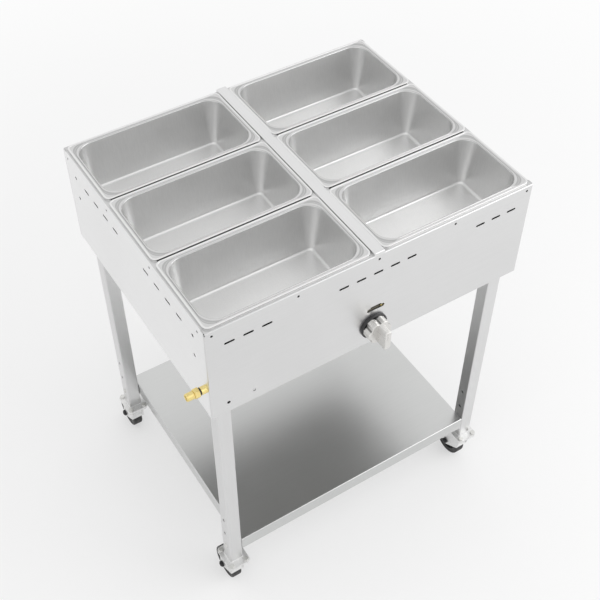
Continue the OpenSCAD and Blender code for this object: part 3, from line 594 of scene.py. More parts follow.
def drawn_pan(name, tint):
    """Deep-drawn pan steel: satin, draw marks down the walls, rub marks on the floor, painted shade
    and highlight at the rim.
    """
    made = Finish(name)
    cloud = made.noise(scale=11.0, detail=3.0)
    down = made.noise(made.scaled(grain_scale("Z", along=9.0, across=420.0)))
    fine = made.noise(made.scaled(grain_scale("Y", along=60.0, across=900.0)))
    rubs = made.noise(made.scaled((60.0, 1500.0, 900.0), turned_by=(0.2, 0.1, 0.5)), detail=1.0)
    rub = made.spread(rubs, low=0.68, high=0.78)
    pattern = 0.4 * cloud + 0.35 * down + 0.25 * fine
    shade = made.mottled(pattern, tint, low=0.36, high=0.64, darker=0.97, brighter=1.03)
    sizes = settings("pans")
    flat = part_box("pan_front_left")[1].z - sizes.bead_height
    crease = flat - sizes.crease_depth
    # Painted light by height: painted shade from the crease's floor up, lighter painted shade from
    # the rim's flat up, and a painted highlight along the top of the bead.
    shade = made.painted_band(shade, tint, level=0.62, low=crease - 0.1 * MM, high=crease + 0.2 * MM)
    shade = made.painted_band(shade, tint, level=0.86, low=flat - 0.4 * MM, high=flat - 0.1 * MM)
    shade = made.painted_band(shade, tint, level=1.05, low=flat + 0.4 * MM, high=flat + 0.7 * MM)
    rough = 0.37 + swing(cloud, 0.08) + swing(fine, 0.04) + 0.05 * rub
    height = 0.5 * down + 0.5 * fine - 0.15 * rub
    return made.surface(shade, rough, metallic=1.0, height=height, depth=0.0015 * MM)


def dull_tank(name, tint):
    """The water tank's sheet: dull, with pale scale marks left by the water."""
    made = Finish(name)
    cloud = made.noise(scale=14.0, detail=5.0)
    fine = made.noise(made.scaled(grain_scale("X", along=30.0, across=1800.0)))
    scale_mark = made.spread(made.noise(scale=32.0, detail=4.0), low=0.56, high=0.70)
    shade = made.mottled(cloud, tint, low=0.3, high=0.7, darker=0.86, brighter=1.06)
    shade = made.blend(0.35 * scale_mark, shade, SCALE_WHITE)
    rough = 0.36 + swing(cloud, 0.12) + 0.18 * scale_mark
    metallic = 1.0 - 0.35 * scale_mark
    return made.surface(shade, rough, metallic, height=fine, depth=0.010 * MM)


def plated(name, tint, roughness, spangle=0.5):
    """Zinc plate: faint crystals, a drawn grain, and duller patches."""
    made = Finish(name)
    crystal = made.cells(420.0)
    cloud = made.noise(scale=26.0, detail=4.0)
    fine = made.noise(scale=2400.0)
    pattern = spangle * crystal + (1.0 - spangle) * cloud
    shade = made.mottled(pattern, tint, low=0.15, high=0.85, darker=0.92, brighter=1.05)
    rough = roughness + swing(cloud, 0.12) + swing(crystal, 0.06)
    return made.surface(shade, rough, metallic=1.0, height=fine, depth=0.012 * MM)


def oxidised(name, tint):
    """Blackened metal with worn, slightly brighter spots."""
    made = Finish(name)
    worn = made.spread(made.noise(scale=260.0, detail=4.0), low=0.58, high=0.74)
    fine = made.noise(scale=2600.0)
    shade = made.blend(worn, tinted(tint), WORN_BLACK)
    rough = 0.42 - 0.10 * worn + swing(fine, 0.10)
    return made.surface(shade, rough, 0.55 + 0.4 * worn, height=fine, depth=0.014 * MM)


def turned_brass(name, tint):
    """Turned brass: tool rings along its length, with slightly darker tarnish."""
    made = Finish(name)
    ring_pitch = 0.42 * MM
    wander = made.noise(scale=240.0, detail=1.0)
    ring = (made.along("X") * (math.tau / ring_pitch) + 5.0 * wander).sine()
    tarnish = made.spread(made.noise(scale=85.0, detail=4.0), low=0.42, high=0.72)
    shade = made.blend(tarnish, tinted(tint, 1.06), TARNISH)
    shade = made.blend(0.45, tinted(tint, 1.03), shade)
    rough = 0.27 + 0.12 * tarnish + 0.03 * ring
    return made.surface(shade, rough, metallic=1.0, height=ring, depth=0.012 * MM)


def heated(name, tint):
    """Aluminised burner steel, tinted straw and blue towards its flame ports."""
    made = Finish(name)
    burner_low, burner_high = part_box("burner_bar")
    cloud = made.noise(scale=44.0, detail=4.0)
    upward = made.spread(made.along("Z"), burner_low.z, burner_high.z)
    heat = upward * made.spread(cloud, low=0.2, high=0.75)
    fine = made.noise(scale=1300.0, detail=3.0)
    straw = made.blend(made.spread(heat, low=0.25, high=0.6), tinted(tint), HEAT_STRAW)
    shade = made.blend(made.spread(heat, low=0.6, high=0.95), straw, HEAT_BLUE)
    rough = 0.46 + swing(cloud, 0.16)
    return made.surface(shade, rough, metallic=0.85, height=fine, depth=0.02 * MM)


def moulded(name, tint, roughness, texture):
    """Moulded plastic: a fine spark-eroded texture and faint flow patches."""
    made = Finish(name)
    fine = made.noise(scale=texture)
    cloud = made.noise(scale=60.0, detail=3.0)
    shade = made.mottled(cloud, tint, low=0.3, high=0.7, darker=0.85, brighter=1.35)
    rough = roughness + swing(cloud, 0.10) + swing(fine, 0.06)
    return made.surface(shade, rough, metallic=0.0, height=fine, depth=0.02 * MM)


def silvered(name, tint):
    """Silver-painted knob: fine flake, rubbed brighter in patches, painted shade deep in its flutes
    and grooves.
    """
    made = Finish(name)
    flake = made.cells(2600.0)
    rubbed = made.spread(made.noise(scale=70.0, detail=4.0), low=0.48, high=0.7)
    shade = made.blend(0.6 * flake + 0.4 * rubbed, tinted(tint, 0.93), tinted(tint, 1.07))
    sizes = settings("control")
    axis = middle_of("knob_bezel")
    low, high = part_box("control_knob")
    forward = made.along("Y")
    across = abs(made.along("X") - axis.x)
    upward = abs(made.along("Z") - axis.z)
    reach = (across * across + upward * upward) ** 0.5
    skirt_front = high.y - sizes.skirt_length
    in_skirt = made.spread(forward, skirt_front + 0.8 * MM, skirt_front + 1.2 * MM)
    valley = sizes.skirt - sizes.scallop_depth
    flute_painted_shade = in_skirt * (1.0 - made.spread(reach, valley + 0.15 * MM, valley + 0.4 * MM))
    bottom = sizes.grip / 2 - sizes.groove_depth
    behind_face = made.spread(forward, low.y + 4.0 * MM, low.y + 5.0 * MM)
    groove_painted_shade = behind_face * (1.0 - made.spread(across, bottom + 0.2 * MM, bottom + 0.6 * MM))
    groove_painted_shade = groove_painted_shade * (1.0 - made.spread(upward, 2 * sizes.groove_at, 2.2 * sizes.groove_at))
    # Painted shade: the skirt is darkened deep in its scallops, and the grip in its grooves.
    shade = made.blend(0.8 * flute_painted_shade, shade, tinted(tint, 0.12))
    shade = made.blend(groove_painted_shade, shade, tinted(tint, 0.25))
    rough = 0.33 - 0.08 * rubbed + swing(flake, 0.05)
    return made.surface(shade, rough, metallic=0.72, height=flake, depth=0.006 * MM, coat=0.15)


def rubbered(name, tint):
    """Tyre rubber: dull, with floor dust in patches."""
    made = Finish(name)
    dust = made.spread(made.noise(scale=95.0, detail=5.0), low=0.46, high=0.72)
    fine = made.noise(scale=1700.0, detail=3.0)
    shade = made.blend(0.5 * dust, tinted(tint), FLOOR_DUST)
    rough = 0.52 + 0.22 * dust + swing(fine, 0.08)
    return made.surface(shade, rough, metallic=0.0, height=fine, depth=0.03 * MM)


# How each material slot of the record is finished; the sheets' grain follows their length
FINISHES = {
    # The levels given for the top flanges are painted shade.
    "cabinet_sheet": lambda name, tints: brushed(name, tints.sheet, "X", 0.36, top_flange_shade=0.86),
    # The side sheets' lighter tint is painted light.
    "cabinet_side": lambda name, tints: brushed(name, tints.side, "Y", 0.36, top_flange_shade=0.72),
    "leg_tube": lambda name, tints: brushed(name, tints.leg, "Z", 0.33),
    "shelf_sheet": lambda name, tints: brushed(name, tints.shelf, "X", 0.29, marks=0.3),
    "divider_steel": lambda name, tints: brushed(name, tints.divider, "Y", 0.30),
    "pan_steel": lambda name, tints: drawn_pan(name, tints.pan),
    "tank_steel": lambda name, tints: dull_tank(name, tints.tank),
    "plain_steel": lambda name, tints: brushed(name, tints.plain, "X", 0.42),
    "zinc": lambda name, tints: plated(name, tints.zinc, 0.46),
    "bolt_steel": lambda name, tints: plated(name, tints.bolt, 0.42, spangle=0.2),
    "black_bolt": lambda name, tints: oxidised(name, tints.black_bolt),
    # The gas pipe's dark tint is painted shade, seen through the lighting port.
    "pipe_metal": lambda name, tints: oxidised(name, tints.pipe),
    "brass": lambda name, tints: turned_brass(name, tints.brass),
    "burner_metal": lambda name, tints: heated(name, tints.burner),
    "black_plastic": lambda name, tints: moulded(name, tints.plastic, 0.34, texture=1500.0),
    "knob_silver": lambda name, tints: silvered(name, tints.knob),
    "wheel_plastic": lambda name, tints: moulded(name, tints.wheel, 0.42, texture=1200.0),
    "tyre_rubber": lambda name, tints: rubbered(name, tints.rubber),
}


def paint(name):
    """The finish of that name, made when it is first asked for."""
    full_name = name + "_finish"
    found = bpy.data.materials.get(full_name)
    return found or FINISHES[name](full_name, settings("finishes"))


def set_finish(mesh, name):
    mesh.materials.clear()
    mesh.materials.append(paint(name))


def finish_nodes(slot_name, *nodes):
    """Gives CAD pieces whose shape is right their finish."""
    for node in nodes:
        set_finish(frame["nodes"][node].data, slot_name)


def body_of(node):
    return frame["nodes"][node]["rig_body"]


def size_of(node):
    low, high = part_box(node)
    return high - low


def middle_of(node):
    low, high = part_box(node)
    return (low + high) / 2


def facing(axis, centre):
    """Matrix that lays a part drawn along +Z along another axis from the centre."""
    turns = {
        "X": Matrix.Rotation(math.pi / 2, 4, "Y"),
        "-X": Matrix.Rotation(-math.pi / 2, 4, "Y"),
        "Y": Matrix.Rotation(-math.pi / 2, 4, "X"),
        "-Y": Matrix.Rotation(math.pi / 2, 4, "X"),
        "Z": Matrix.Identity(4),
        "-Z": Matrix.Rotation(math.pi, 4, "X"),
    }
    return Matrix.Translation(centre) @ turns[axis]


def filleted(corners, radius, steps=BEND_STEPS, closed=False):
    """A flat outline with arcs at its corners; radius is one number, or one for each corner."""
    count = len(corners)
    radii = radius if isinstance(radius, (list, tuple)) else [radius] * count
    outline = []
    for index, corner in enumerate(corners):
        here = Vector(corner)
        ends = index in (0, count - 1) and not closed
        if ends or radii[index] == 0:
            outline.append(here)
            continue
        before = (Vector(corners[index - 1]) - here).normalized()
        after = (Vector(corners[(index + 1) % count]) - here).normalized()
        half = before.angle(after) / 2
        back = radii[index] / math.tan(half)
        centre = here + (before + after).normalized() * (radii[index] / math.sin(half))
        first = here + before * back - centre
        last = here + after * back - centre
        sweep = first.angle_signed(last)
        for step in range(steps + 1):
            turn = -sweep * step / steps
            outline.append(centre + Matrix.Rotation(turn, 2) @ first)
    return outline


def rounded_ring(half_x, half_y, radius, centre, steps=CORNER_STEPS):
    """Points round a rectangle with round corners, anticlockwise seen from above."""
    points = []
    for quarter in range(4):
        side_x = 1 if quarter in (0, 3) else -1
        side_y = 1 if quarter < 2 else -1
        for step in range(steps + 1):
            angle = math.pi / 2 * (quarter + step / steps)
            x = side_x * (half_x - radius) + radius * math.cos(angle)
            y = side_y * (half_y - radius) + radius * math.sin(angle)
            points.append(centre + Vector((x, y, 0)))
    return points


def rounding(steps=BEND_STEPS, sweep=math.pi / 2):
    """How far in and how far down a round edge lies, in radii, from its side to its top."""
    for step in range(steps + 1):
        angle = sweep * step / steps
        yield 1 - math.cos(angle), 1 - math.sin(angle)


def rounded_outline(corners, steps, mirrored=False):
    """A closed outline of (across, along, rounding) corners, mirrored about zero if wanted."""
    if mirrored:
        corners = corners + [(x, -along, ease) for x, along, ease in reversed(corners)]
    points = [(x, along) for x, along, _ in corners]
    return filleted(points, [ease for _, _, ease in corners], steps, closed=True)


def loft(bm, rings, cap_start=False, cap_end=False):
    """Skins closed rings of points, one after the other."""
    rows = [[bm.verts.new(point) for point in ring] for ring in rings]
    for row, after in zip(rows, rows[1:]):
        for index in range(len(row)):
            beside = (index + 1) % len(row)
            bm.faces.new((row[index], row[beside], after[beside], after[index]))
    if cap_start:
        bm.faces.new(list(reversed(rows[0])))
    if cap_end:
        bm.faces.new(rows[-1])


def turned(bm, profile, matrix, steps):
    """Turns a closed profile of (radius, along) points about the matrix's Z axis."""
    rows = []
    for step in range(steps):
        angle = math.tau * step / steps
        across = Vector((math.cos(angle), math.sin(angle), 0))
        ring = [matrix @ (across * r + Vector((0, 0, along))) for r, along in profile]
        rows.append([bm.verts.new(point) for point in ring])
    for row, after in zip(rows, rows[1:] + rows[:1]):
        for k in range(len(profile)):
            beside = (k + 1) % len(profile)
            if profile[k][0] == profile[beside][0] == 0:
                continue
            bm.faces.new((row[k], after[k], after[beside], row[beside]))
    bmesh.ops.remove_doubles(bm, verts=bm.verts, dist=CURVE_GAP)


def hexagon(bm, flats, low, high, matrix, chamfer_low=False, bore=0.0):
    """A hexagon, chamfered on one or both ends, with a hole if bore isn't zero."""
    inner = HEXAGON_FACE * flats
    lower, upper = [], []
    for step in range(HEXAGON_STEPS):
        angle = math.tau * step / HEXAGON_STEPS
        aside = (angle + math.pi / 6) % (math.pi / 3) - math.pi / 6
        radius = flats / 2 / math.cos(aside)
        drop = max(0.0, radius - inner) * HEXAGON_SLOPE
        lower.append((angle, radius, low + (drop if chamfer_low else 0.0)))
        upper.append((angle, radius, high - drop))

    def ring(places):
        spots = [Vector((r * math.cos(a), r * math.sin(a), z)) for a, r, z in places]
        return [matrix @ spot for spot in spots]

    def circle(radius, z):
        return ring([(angle, radius, z) for angle, _, _ in lower])

    rings = [ring(lower), ring(upper), circle(inner, high)]
    if chamfer_low:
        rings.insert(0, circle(inner, low))
    if bore:
        rings = [circle(bore, low), *rings, circle(bore, high), circle(bore, low)]
    loft(bm, rings, cap_start=not bore, cap_end=not bore)
    bmesh.ops.remove_doubles(bm, verts=bm.verts, dist=CURVE_GAP)


def block(bm, low, high, ease, steps=2):
    """A plain block from one corner to the other with its edges rounded."""
    made = bmesh.ops.create_cube(bm, size=1.0)
    centre = (Vector(low) + Vector(high)) / 2
    size = Vector(high) - Vector(low)
    for vert in made["verts"]:
        vert.co = centre + Vector((vert.co.x * size.x, vert.co.y * size.y, vert.co.z * size.z))
    edges = list({edge for vert in made["verts"] for edge in vert.link_edges})
    bmesh.ops.bevel(bm, geom=edges, offset=ease, segments=steps, profile=0.5, affect="EDGES")


def mesh_object(name, bm, close=False):
    """An object with that mesh at the origin. A closed shell has its faces turned outwards."""
    if close:
        bmesh.ops.recalc_face_normals(bm, faces=bm.faces)
    mesh = bpy.data.meshes.new(name)
    bm.to_mesh(mesh)
    bm.free()
    made = bpy.data.objects.new(name, mesh)
    bpy.context.scene.collection.objects.link(made)
    return made


def bake(obj):
    """Turns the object with all its modifiers into a plain mesh."""
    graph = bpy.context.evaluated_depsgraph_get()
    graph.update()
    mesh = bpy.data.meshes.new_from_object(obj.evaluated_get(graph))
    obj.modifiers.clear()
    obj.data = mesh
    mesh.name = obj.name


def settle(obj, finish_name, ease=0.0, angle=SHARP_ANGLE):
    """Bakes a piece, eases its sharp edges, and shades its curves smoothly up to flat faces."""
    if ease:
        bevel = obj.modifiers.new("ease", "BEVEL")
        bevel.width = ease
        bevel.segments = 2
        bevel.limit_method = "ANGLE"
        bevel.angle_limit = angle
        bevel.use_clamp_overlap = True
    bake(obj)
    obj.data.shade_smooth()
    obj.data.set_sharp_from_angle(angle=angle)
    weight = obj.modifiers.new("weight", "WEIGHTED_NORMAL")
    weight.keep_sharp = True
    bake(obj)
    set_finish(obj.data, finish_name)


def hand_over(obj, body, slot_name, *nodes, finish_name=None, ease=0.0, angle=SHARP_ANGLE):
    """Settles a piece. It moves with a body, has a slot's finish and stands for CAD nodes."""
    settle(obj, finish_name or slot_name, ease, angle)
    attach(obj, body)
    if nodes:
        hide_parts(*nodes)


def solidify(obj, thickness):
    """Gives a sheet its thickness on the side that its faces turn away from."""
    made = obj.modifiers.new("thickness", "SOLIDIFY")
    made.thickness = thickness
    made.offset = -1.0
    made.use_even_offset = True


def face_away(bm, inward):
    """Turns a sheet's faces away from the inward direction, judged by its biggest face."""
    bmesh.ops.recalc_face_normals(bm, faces=bm.faces)
    biggest = max(bm.faces, key=lambda face: face.calc_area())
    if biggest.normal.dot(inward) > 0:
        bmesh.ops.reverse_faces(bm, faces=bm.faces)


def turning(name, profile, matrix, steps):
    """A turned piece, closed and with its faces outwards."""
    bm = bmesh.new()
    turned(bm, profile, matrix, steps)
    return mesh_object(name, bm, close=True)


def softened(node, name, ease, slot_name):
    """A copy of a CAD piece with flat faces joined and edges eased, which stands for it."""
    bm = bmesh.new()
    bm.from_mesh(frame["nodes"][node].data)
    bmesh.ops.remove_doubles(bm, verts=bm.verts, dist=CAD_GAP)
    flat = math.radians(0.4)
    bmesh.ops.dissolve_limit(bm, angle_limit=flat, verts=bm.verts, edges=bm.edges)
    hand_over(mesh_object(name, bm), body_of(node), slot_name, node, ease=ease)


def new_tree(name, inputs):
    """A geometry tree with named inputs; returns its nodes and its input node."""
    tree = bpy.data.node_groups.new(name, "GeometryNodeTree")
    tree.interface.new_socket("Mesh", in_out="INPUT", socket_type="NodeSocketGeometry")
    for label, kind in inputs.items():
        tree.interface.new_socket(label, in_out="INPUT", socket_type="NodeSocket" + kind)
    tree.interface.new_socket("Mesh", in_out="OUTPUT", socket_type="NodeSocketGeometry")
    nodes = Nodes(tree)
    return nodes, nodes.add("NodeGroupInput")


def end_tree(nodes, given, mesh):
    """Ends a tree in real geometry that has its finish."""
    real = nodes.add("GeometryNodeRealizeInstances", None, {"Geometry": mesh})
    painted = {"Geometry": real, "Material": given.output("Finish")}
    nodes.add("NodeGroupOutput", None, {0: nodes.add("GeometryNodeSetMaterial", None, painted)})
    return nodes.tree


def row_of_holes_tree():
    """Punches a row of round holes, or of slots where Length is more than Height."""
    inputs = {"Start": "Vector", "Step": "Vector", "Turn": "Vector", "Count": "Int"}
    inputs.update({"Length": "Float", "Height": "Float", "Depth": "Float", "Finish": "Material"})
    nodes, given = new_tree("row_of_holes", inputs)
    rod = nodes.add(
        "GeometryNodeMeshCylinder",
        {"fill_type": "NGON"},
        {
            "Vertices": HOLE_STEPS,
            "Radius": given.output("Height") / 2.0,
            "Depth": given.output("Depth"),
        },
    )
    spot = nodes.add("GeometryNodeInputPosition")
    side = nodes.add("ShaderNodeSeparateXYZ", None, {0: spot}).output("X").sign()
    apart = side * (given.output("Length") - given.output("Height")) / 2.0
    offset = nodes.add("ShaderNodeCombineXYZ", None, {"X": apart})
    punch = nodes.add("GeometryNodeSetPosition", None, {"Geometry": rod, "Offset": offset})
    row = nodes.add(
        "GeometryNodeMeshLine",
        {"mode": "OFFSET"},
        {
            "Count": given.output("Count"),
            "Start Location": given.output("Start"),
            "Offset": given.output("Step"),
        },
    )
    turn = nodes.add("FunctionNodeEulerToRotation", None, {0: given.output("Turn")})
    punches = nodes.add(
        "GeometryNodeInstanceOnPoints", None, {"Points": row, "Instance": punch, "Rotation": turn}
    )
    cutters = nodes.add("GeometryNodeRealizeInstances", None, {"Geometry": punches})
    cut = nodes.add(
        "GeometryNodeMeshBoolean",
        {"operation": "DIFFERENCE", "solver": "EXACT"},
        {"Mesh 1": given.output("Mesh"), "Mesh 2": cutters},
    )
    return end_tree(nodes, given, cut)


def parts_on_points_tree():
    """Puts a copy of a part on every point of the mesh, turned as the point's own turn says."""
    nodes, given = new_tree("parts_on_points", {"Part": "Object", "Finish": "Material"})
    part = nodes.add("GeometryNodeObjectInfo", None, {"Object": given.output("Part")})
    turn = nodes.add(
        "GeometryNodeInputNamedAttribute", {"data_type": "FLOAT_VECTOR"}, {"Name": "turn"}
    )
    rotation = nodes.add("FunctionNodeEulerToRotation", None, {0: turn})
    inputs = {"Points": given.output("Mesh"), "Instance": part.output("Geometry")}
    inputs["Rotation"] = rotation
    return end_tree(nodes, given, nodes.add("GeometryNodeInstanceOnPoints", None, inputs))


def ring_of_parts_tree():
    """Puts copies of a part in a ring about the mesh's middle, each turned to face outwards."""
    inputs = {"Part": "Object", "Count": "Int", "Radius": "Float", "Finish": "Material"}
    nodes, given = new_tree("ring_of_parts", inputs)
    part = nodes.add("GeometryNodeObjectInfo", None, {"Object": given.output("Part")})
    ring = nodes.add(
        "GeometryNodeMeshCircle",
        None,
        {"Vertices": given.output("Count"), "Radius": given.output("Radius")},
    )
    index = nodes.add("GeometryNodeInputIndex")
    angle = index * math.tau / given.output("Count")
    turn = nodes.add("ShaderNodeCombineXYZ", None, {"Z": angle})
    rotation = nodes.add("FunctionNodeEulerToRotation", None, {0: turn})
    inputs = {"Points": ring, "Instance": part.output("Geometry"), "Rotation": rotation}
    parts = nodes.add("GeometryNodeInstanceOnPoints", None, inputs)
    return end_tree(nodes, given, parts)


def thread_tree():
    """A thread: a ridge of three sides wound along Z."""
    inputs = {"Radius": "Float", "Pitch": "Float", "Turns": "Float", "Ridge": "Float"}
    inputs["Finish"] = "Material"
    nodes, given = new_tree("thread", inputs)
    height = given.output("Pitch") * given.output("Turns")
    line = nodes.add(
        "GeometryNodeCurveSpiral",
        None,
        {
            "Resolution": THREAD_STEPS,
            "Rotations": given.output("Turns"),
            "Start Radius": given.output("Radius"),
            "End Radius": given.output("Radius"),
            "Height": height,
        },
    )
    ridge = nodes.add(
        "GeometryNodeCurvePrimitiveCircle",
        None,
        {"Resolution": RIDGE_SIDES, "Radius": given.output("Ridge")},
    )
    inputs = {"Curve": line, "Profile Curve": ridge, "Fill Caps": True}
    return end_tree(nodes, given, nodes.add("GeometryNodeCurveToMesh", None, inputs))


TREES = {
    "row_of_holes": row_of_holes_tree,
    "parts_on_points": parts_on_points_tree,
    "ring_of_parts": ring_of_parts_tree,
    "thread": thread_tree,
}


def use_tree(obj, name, values):
    """Adds a geometry tree to an object and sets its inputs by their identifiers."""
    tree = bpy.data.node_groups.get(name) or TREES[name]()
    made = obj.modifiers.new(name, "NODES")
    made.node_group = tree
    for item in tree.interface.items_tree:
        if item.item_type == "SOCKET" and item.in_out == "INPUT" and item.name in values:
            made[item.identifier] = values[item.name]


class Sheet:
    """One folded wall of the cabinet: its place, its inward direction and its holes."""

    def __init__(self, name, finish_name, origin, along, inward):
        self.name = name
        self.finish_name = finish_name
        self.origin = origin
        self.along = along
        self.inward = inward
        self.sizes = settings("sheets")
        self.bm = bmesh.new()

    def at(self, run, depth, height):
        """The point that far along the wall, behind its face and above its foot."""
        return self.origin + self.along * run + self.inward * depth + Vector((0, 0, height))

    def outline(self):
        """The fold, seen from its end: top flange, face and bottom flange."""
        sizes = self.sizes
        corners = [(sizes.top_flange, HEIGHT), (0, HEIGHT), (0, 0), (sizes.bottom_flange, 0)]
        return filleted(corners, sizes.bend)

    def strip(self, start, end, points):
        """Faces between two places along the wall, down a run of outline points."""
        for upper, lower in zip(points, points[1:]):
            corners = [(start, upper), (end, upper), (end, lower), (start, lower)]
            self.bm.faces.new([self.bm.verts.new(self.at(r, p[0], p[1])) for r, p in corners])

    def face_of_outline(self, outline):
        """The two points of the outline between which the wall's flat face lies."""
        flat = [p for p in outline if abs(p[0]) < CURVE_GAP]
        return flat[0], flat[-1]

    def end(self):
        """Joins the strips, turns them outwards, and gives the sheet its thickness."""
        bmesh.ops.remove_doubles(self.bm, verts=self.bm.verts, dist=STRIP_GAP)
        face_away(self.bm, self.inward)
        self.piece = mesh_object(self.name + "_sheet", self.bm)
        solidify(self.piece, self.sizes.thickness)

    def punch(self, run, drop, size, step=0.0, count=1, height=None, lean=0.0, rise=0.0):
        """A row of holes that far along the wall and below its top."""
        upright = math.pi / 2
        sideways = math.pi / 2 if self.along.y else 0.0
        through = 4 * self.sizes.corner_return
        values = {
            "Start": list(self.at(run, 0, HEIGHT - drop)),
            "Step": list(self.along * step + Vector((0, 0, rise))),
            "Turn": [upright, 0.0, sideways + lean],
            "Count": count,
            "Length": size,
            "Height": height or size,
            "Depth": through,
            "Finish": paint(self.finish_name),
        }
        use_tree(self.piece, "row_of_holes", values)

    def finish(self):
        """Hands the punched sheet over as the CAD panel of its name."""
        hand_over(
            self.piece,
            "frame",
            "cabinet_sheet",
            self.name,
            finish_name=self.finish_name,
            ease=self.sizes.edge_ease,
        )


def long_sheet(name, origin, inward):
    """Front or back wall, with its short returns round the corners."""
    sheet = Sheet(name, "cabinet_sheet", origin, Vector((1, 0, 0)), inward)
    sizes = sheet.sizes
    outline = sheet.outline()
    top, foot = sheet.face_of_outline(outline)
    bend = sizes.bend
    inner = sizes.thickness + sizes.seam
    sheet.strip(bend, WIDTH - bend, outline)
    above = outline[: outline.index(top) + 1]
    below = outline[outline.index(foot):]
    for start, end in ((inner, bend), (WIDTH - bend, WIDTH - inner)):
        sheet.strip(start, end, above)
        sheet.strip(start, end, below)
    turn = filleted([(bend, 0), (0, 0), (0, sizes.corner_return)], bend)
    for mirrored in (False, True):
        for (u0, d0), (u1, d1) in zip(turn, turn[1:]):
            ends = [(WIDTH - u0, d0), (WIDTH - u1, d1)] if mirrored else [(u0, d0), (u1, d1)]
            spots = [(*end, top[1]) for end in ends] + [(*end, foot[1]) for end in reversed(ends)]
            sheet.bm.faces.new([sheet.bm.verts.new(sheet.at(*spot)) for spot in spots])
    sheet.end()
    pitch = sizes.long_slot_pitch
    slot = {"size": sizes.slot_length, "height": sizes.slot_height, "step": pitch}
    sheet.punch(sizes.long_slot_edge, sizes.slot_drop, count=3, **slot)
    sheet.punch(WIDTH / 2 - 2 * pitch, sizes.slot_drop, count=5, **slot)
    sheet.punch(WIDTH - sizes.long_slot_edge - 2 * pitch, sizes.slot_drop, count=3, **slot)
    small = sizes.small_pitch
    sheet.punch(WIDTH / 2 - 2 * small, sizes.small_drop, sizes.small_hole, small, 5)
    for run, lean in ((0.0, -math.pi / 4), (WIDTH, math.pi / 4)):
        outward = lean if inward.y > 0 else -lean
        sheet.punch(run, sizes.relief_drop, sizes.relief_hole, lean=outward)
    return sheet


def front_holes(sheet):
    """The lighting port, the stem's hole and the two low holes."""
    sizes = sheet.sizes
    middle = WIDTH / 2
    stem_z = middle_of("knob_bezel").z
    sheet.punch(middle, TOP - stem_z, sizes.stem_hole)
    low = sizes.low_hole_spacing
    sheet.punch(sizes.low_hole_edge, sizes.low_hole_drop, sizes.accessory_hole, low, 2)
    sheet.punch(middle, sizes.port_drop, sizes.port_width, height=sizes.port_height)
    step_drop = sizes.port_drop - sizes.port_height / 2
    sheet.punch(middle, step_drop, sizes.port_step_width, height=2 * sizes.port_step)


def short_sheet(name, origin, inward):
    """Left or right wall, between the long ones."""
    sheet = Sheet(name, "cabinet_side", origin, Vector((0, 1, 0)), inward)
    sizes = sheet.sizes
    outline = sheet.outline()
    top, foot = sheet.face_of_outline(outline)
    face_start = sizes.corner_return + sizes.seam
    top_start = sizes.top_flange + sizes.seam
    foot_start = sizes.bottom_flange + sizes.seam
    above = outline[: outline.index(top) + 1]
    below = outline[outline.index(foot):]
    plain_foot = [foot, (0, 0)]
    ends = ((face_start, top_start, [(0, HEIGHT), top]), (top_start, foot_start, above))
    for low, high, upper in ends:
        sheet.strip(low, high, upper + plain_foot)
        sheet.strip(DEPTH - high, DEPTH - low, upper + plain_foot)
    sheet.strip(foot_start, DEPTH - foot_start, above + below)
    sheet.end()
    pitch = sizes.short_slot_pitch
    slot = {"size": sizes.slot_length, "height": sizes.slot_height, "step": pitch}
    half_gap = 1.5 * pitch
    sheet.punch(DEPTH / 2 - half_gap - 3 * pitch, sizes.slot_drop, count=4, **slot)
    sheet.punch(DEPTH / 2 + half_gap, sizes.slot_drop, count=4, **slot)
    run = (DEPTH - sizes.side_small_front - sizes.side_small_back) / 3
    sheet.punch(sizes.side_small_front, sizes.side_small_drop, sizes.small_hole, run, 4)
    for edge in (sizes.accessory_edge, DEPTH - sizes.accessory_edge):
        sheet.punch(
            edge, sizes.accessory_drop, sizes.accessory_hole, count=2, rise=-sizes.accessory_spacing
        )
    return sheet


class STEAMTABLE_OT_cabinet(bpy.types.Operator):
    """Fold and punch the four walls of the cabinet"""

    bl_idname = "steam_table.cabinet"
    bl_label = "Cabinet Walls"

    def execute(self, context):
        front = long_sheet("front_panel", Vector((LEFT, FRONT, BOTTOM)), Vector((0, 1, 0)))
        front_holes(front)
        back = long_sheet("back_panel", Vector((LEFT, BACK, BOTTOM)), Vector((0, -1, 0)))
        left = short_sheet("left_panel", Vector((LEFT, FRONT, BOTTOM)), Vector((1, 0, 0)))
        inlet = middle_of("inlet_hex_nut")
        left.punch(inlet.y - FRONT, TOP - inlet.z, left.sizes.inlet_hole)
        right = short_sheet("right_panel", Vector((RIGHT, FRONT, BOTTOM)), Vector((-1, 0, 0)))
        for sheet in (front, back, left, right):
            sheet.finish()
        return {"FINISHED"}


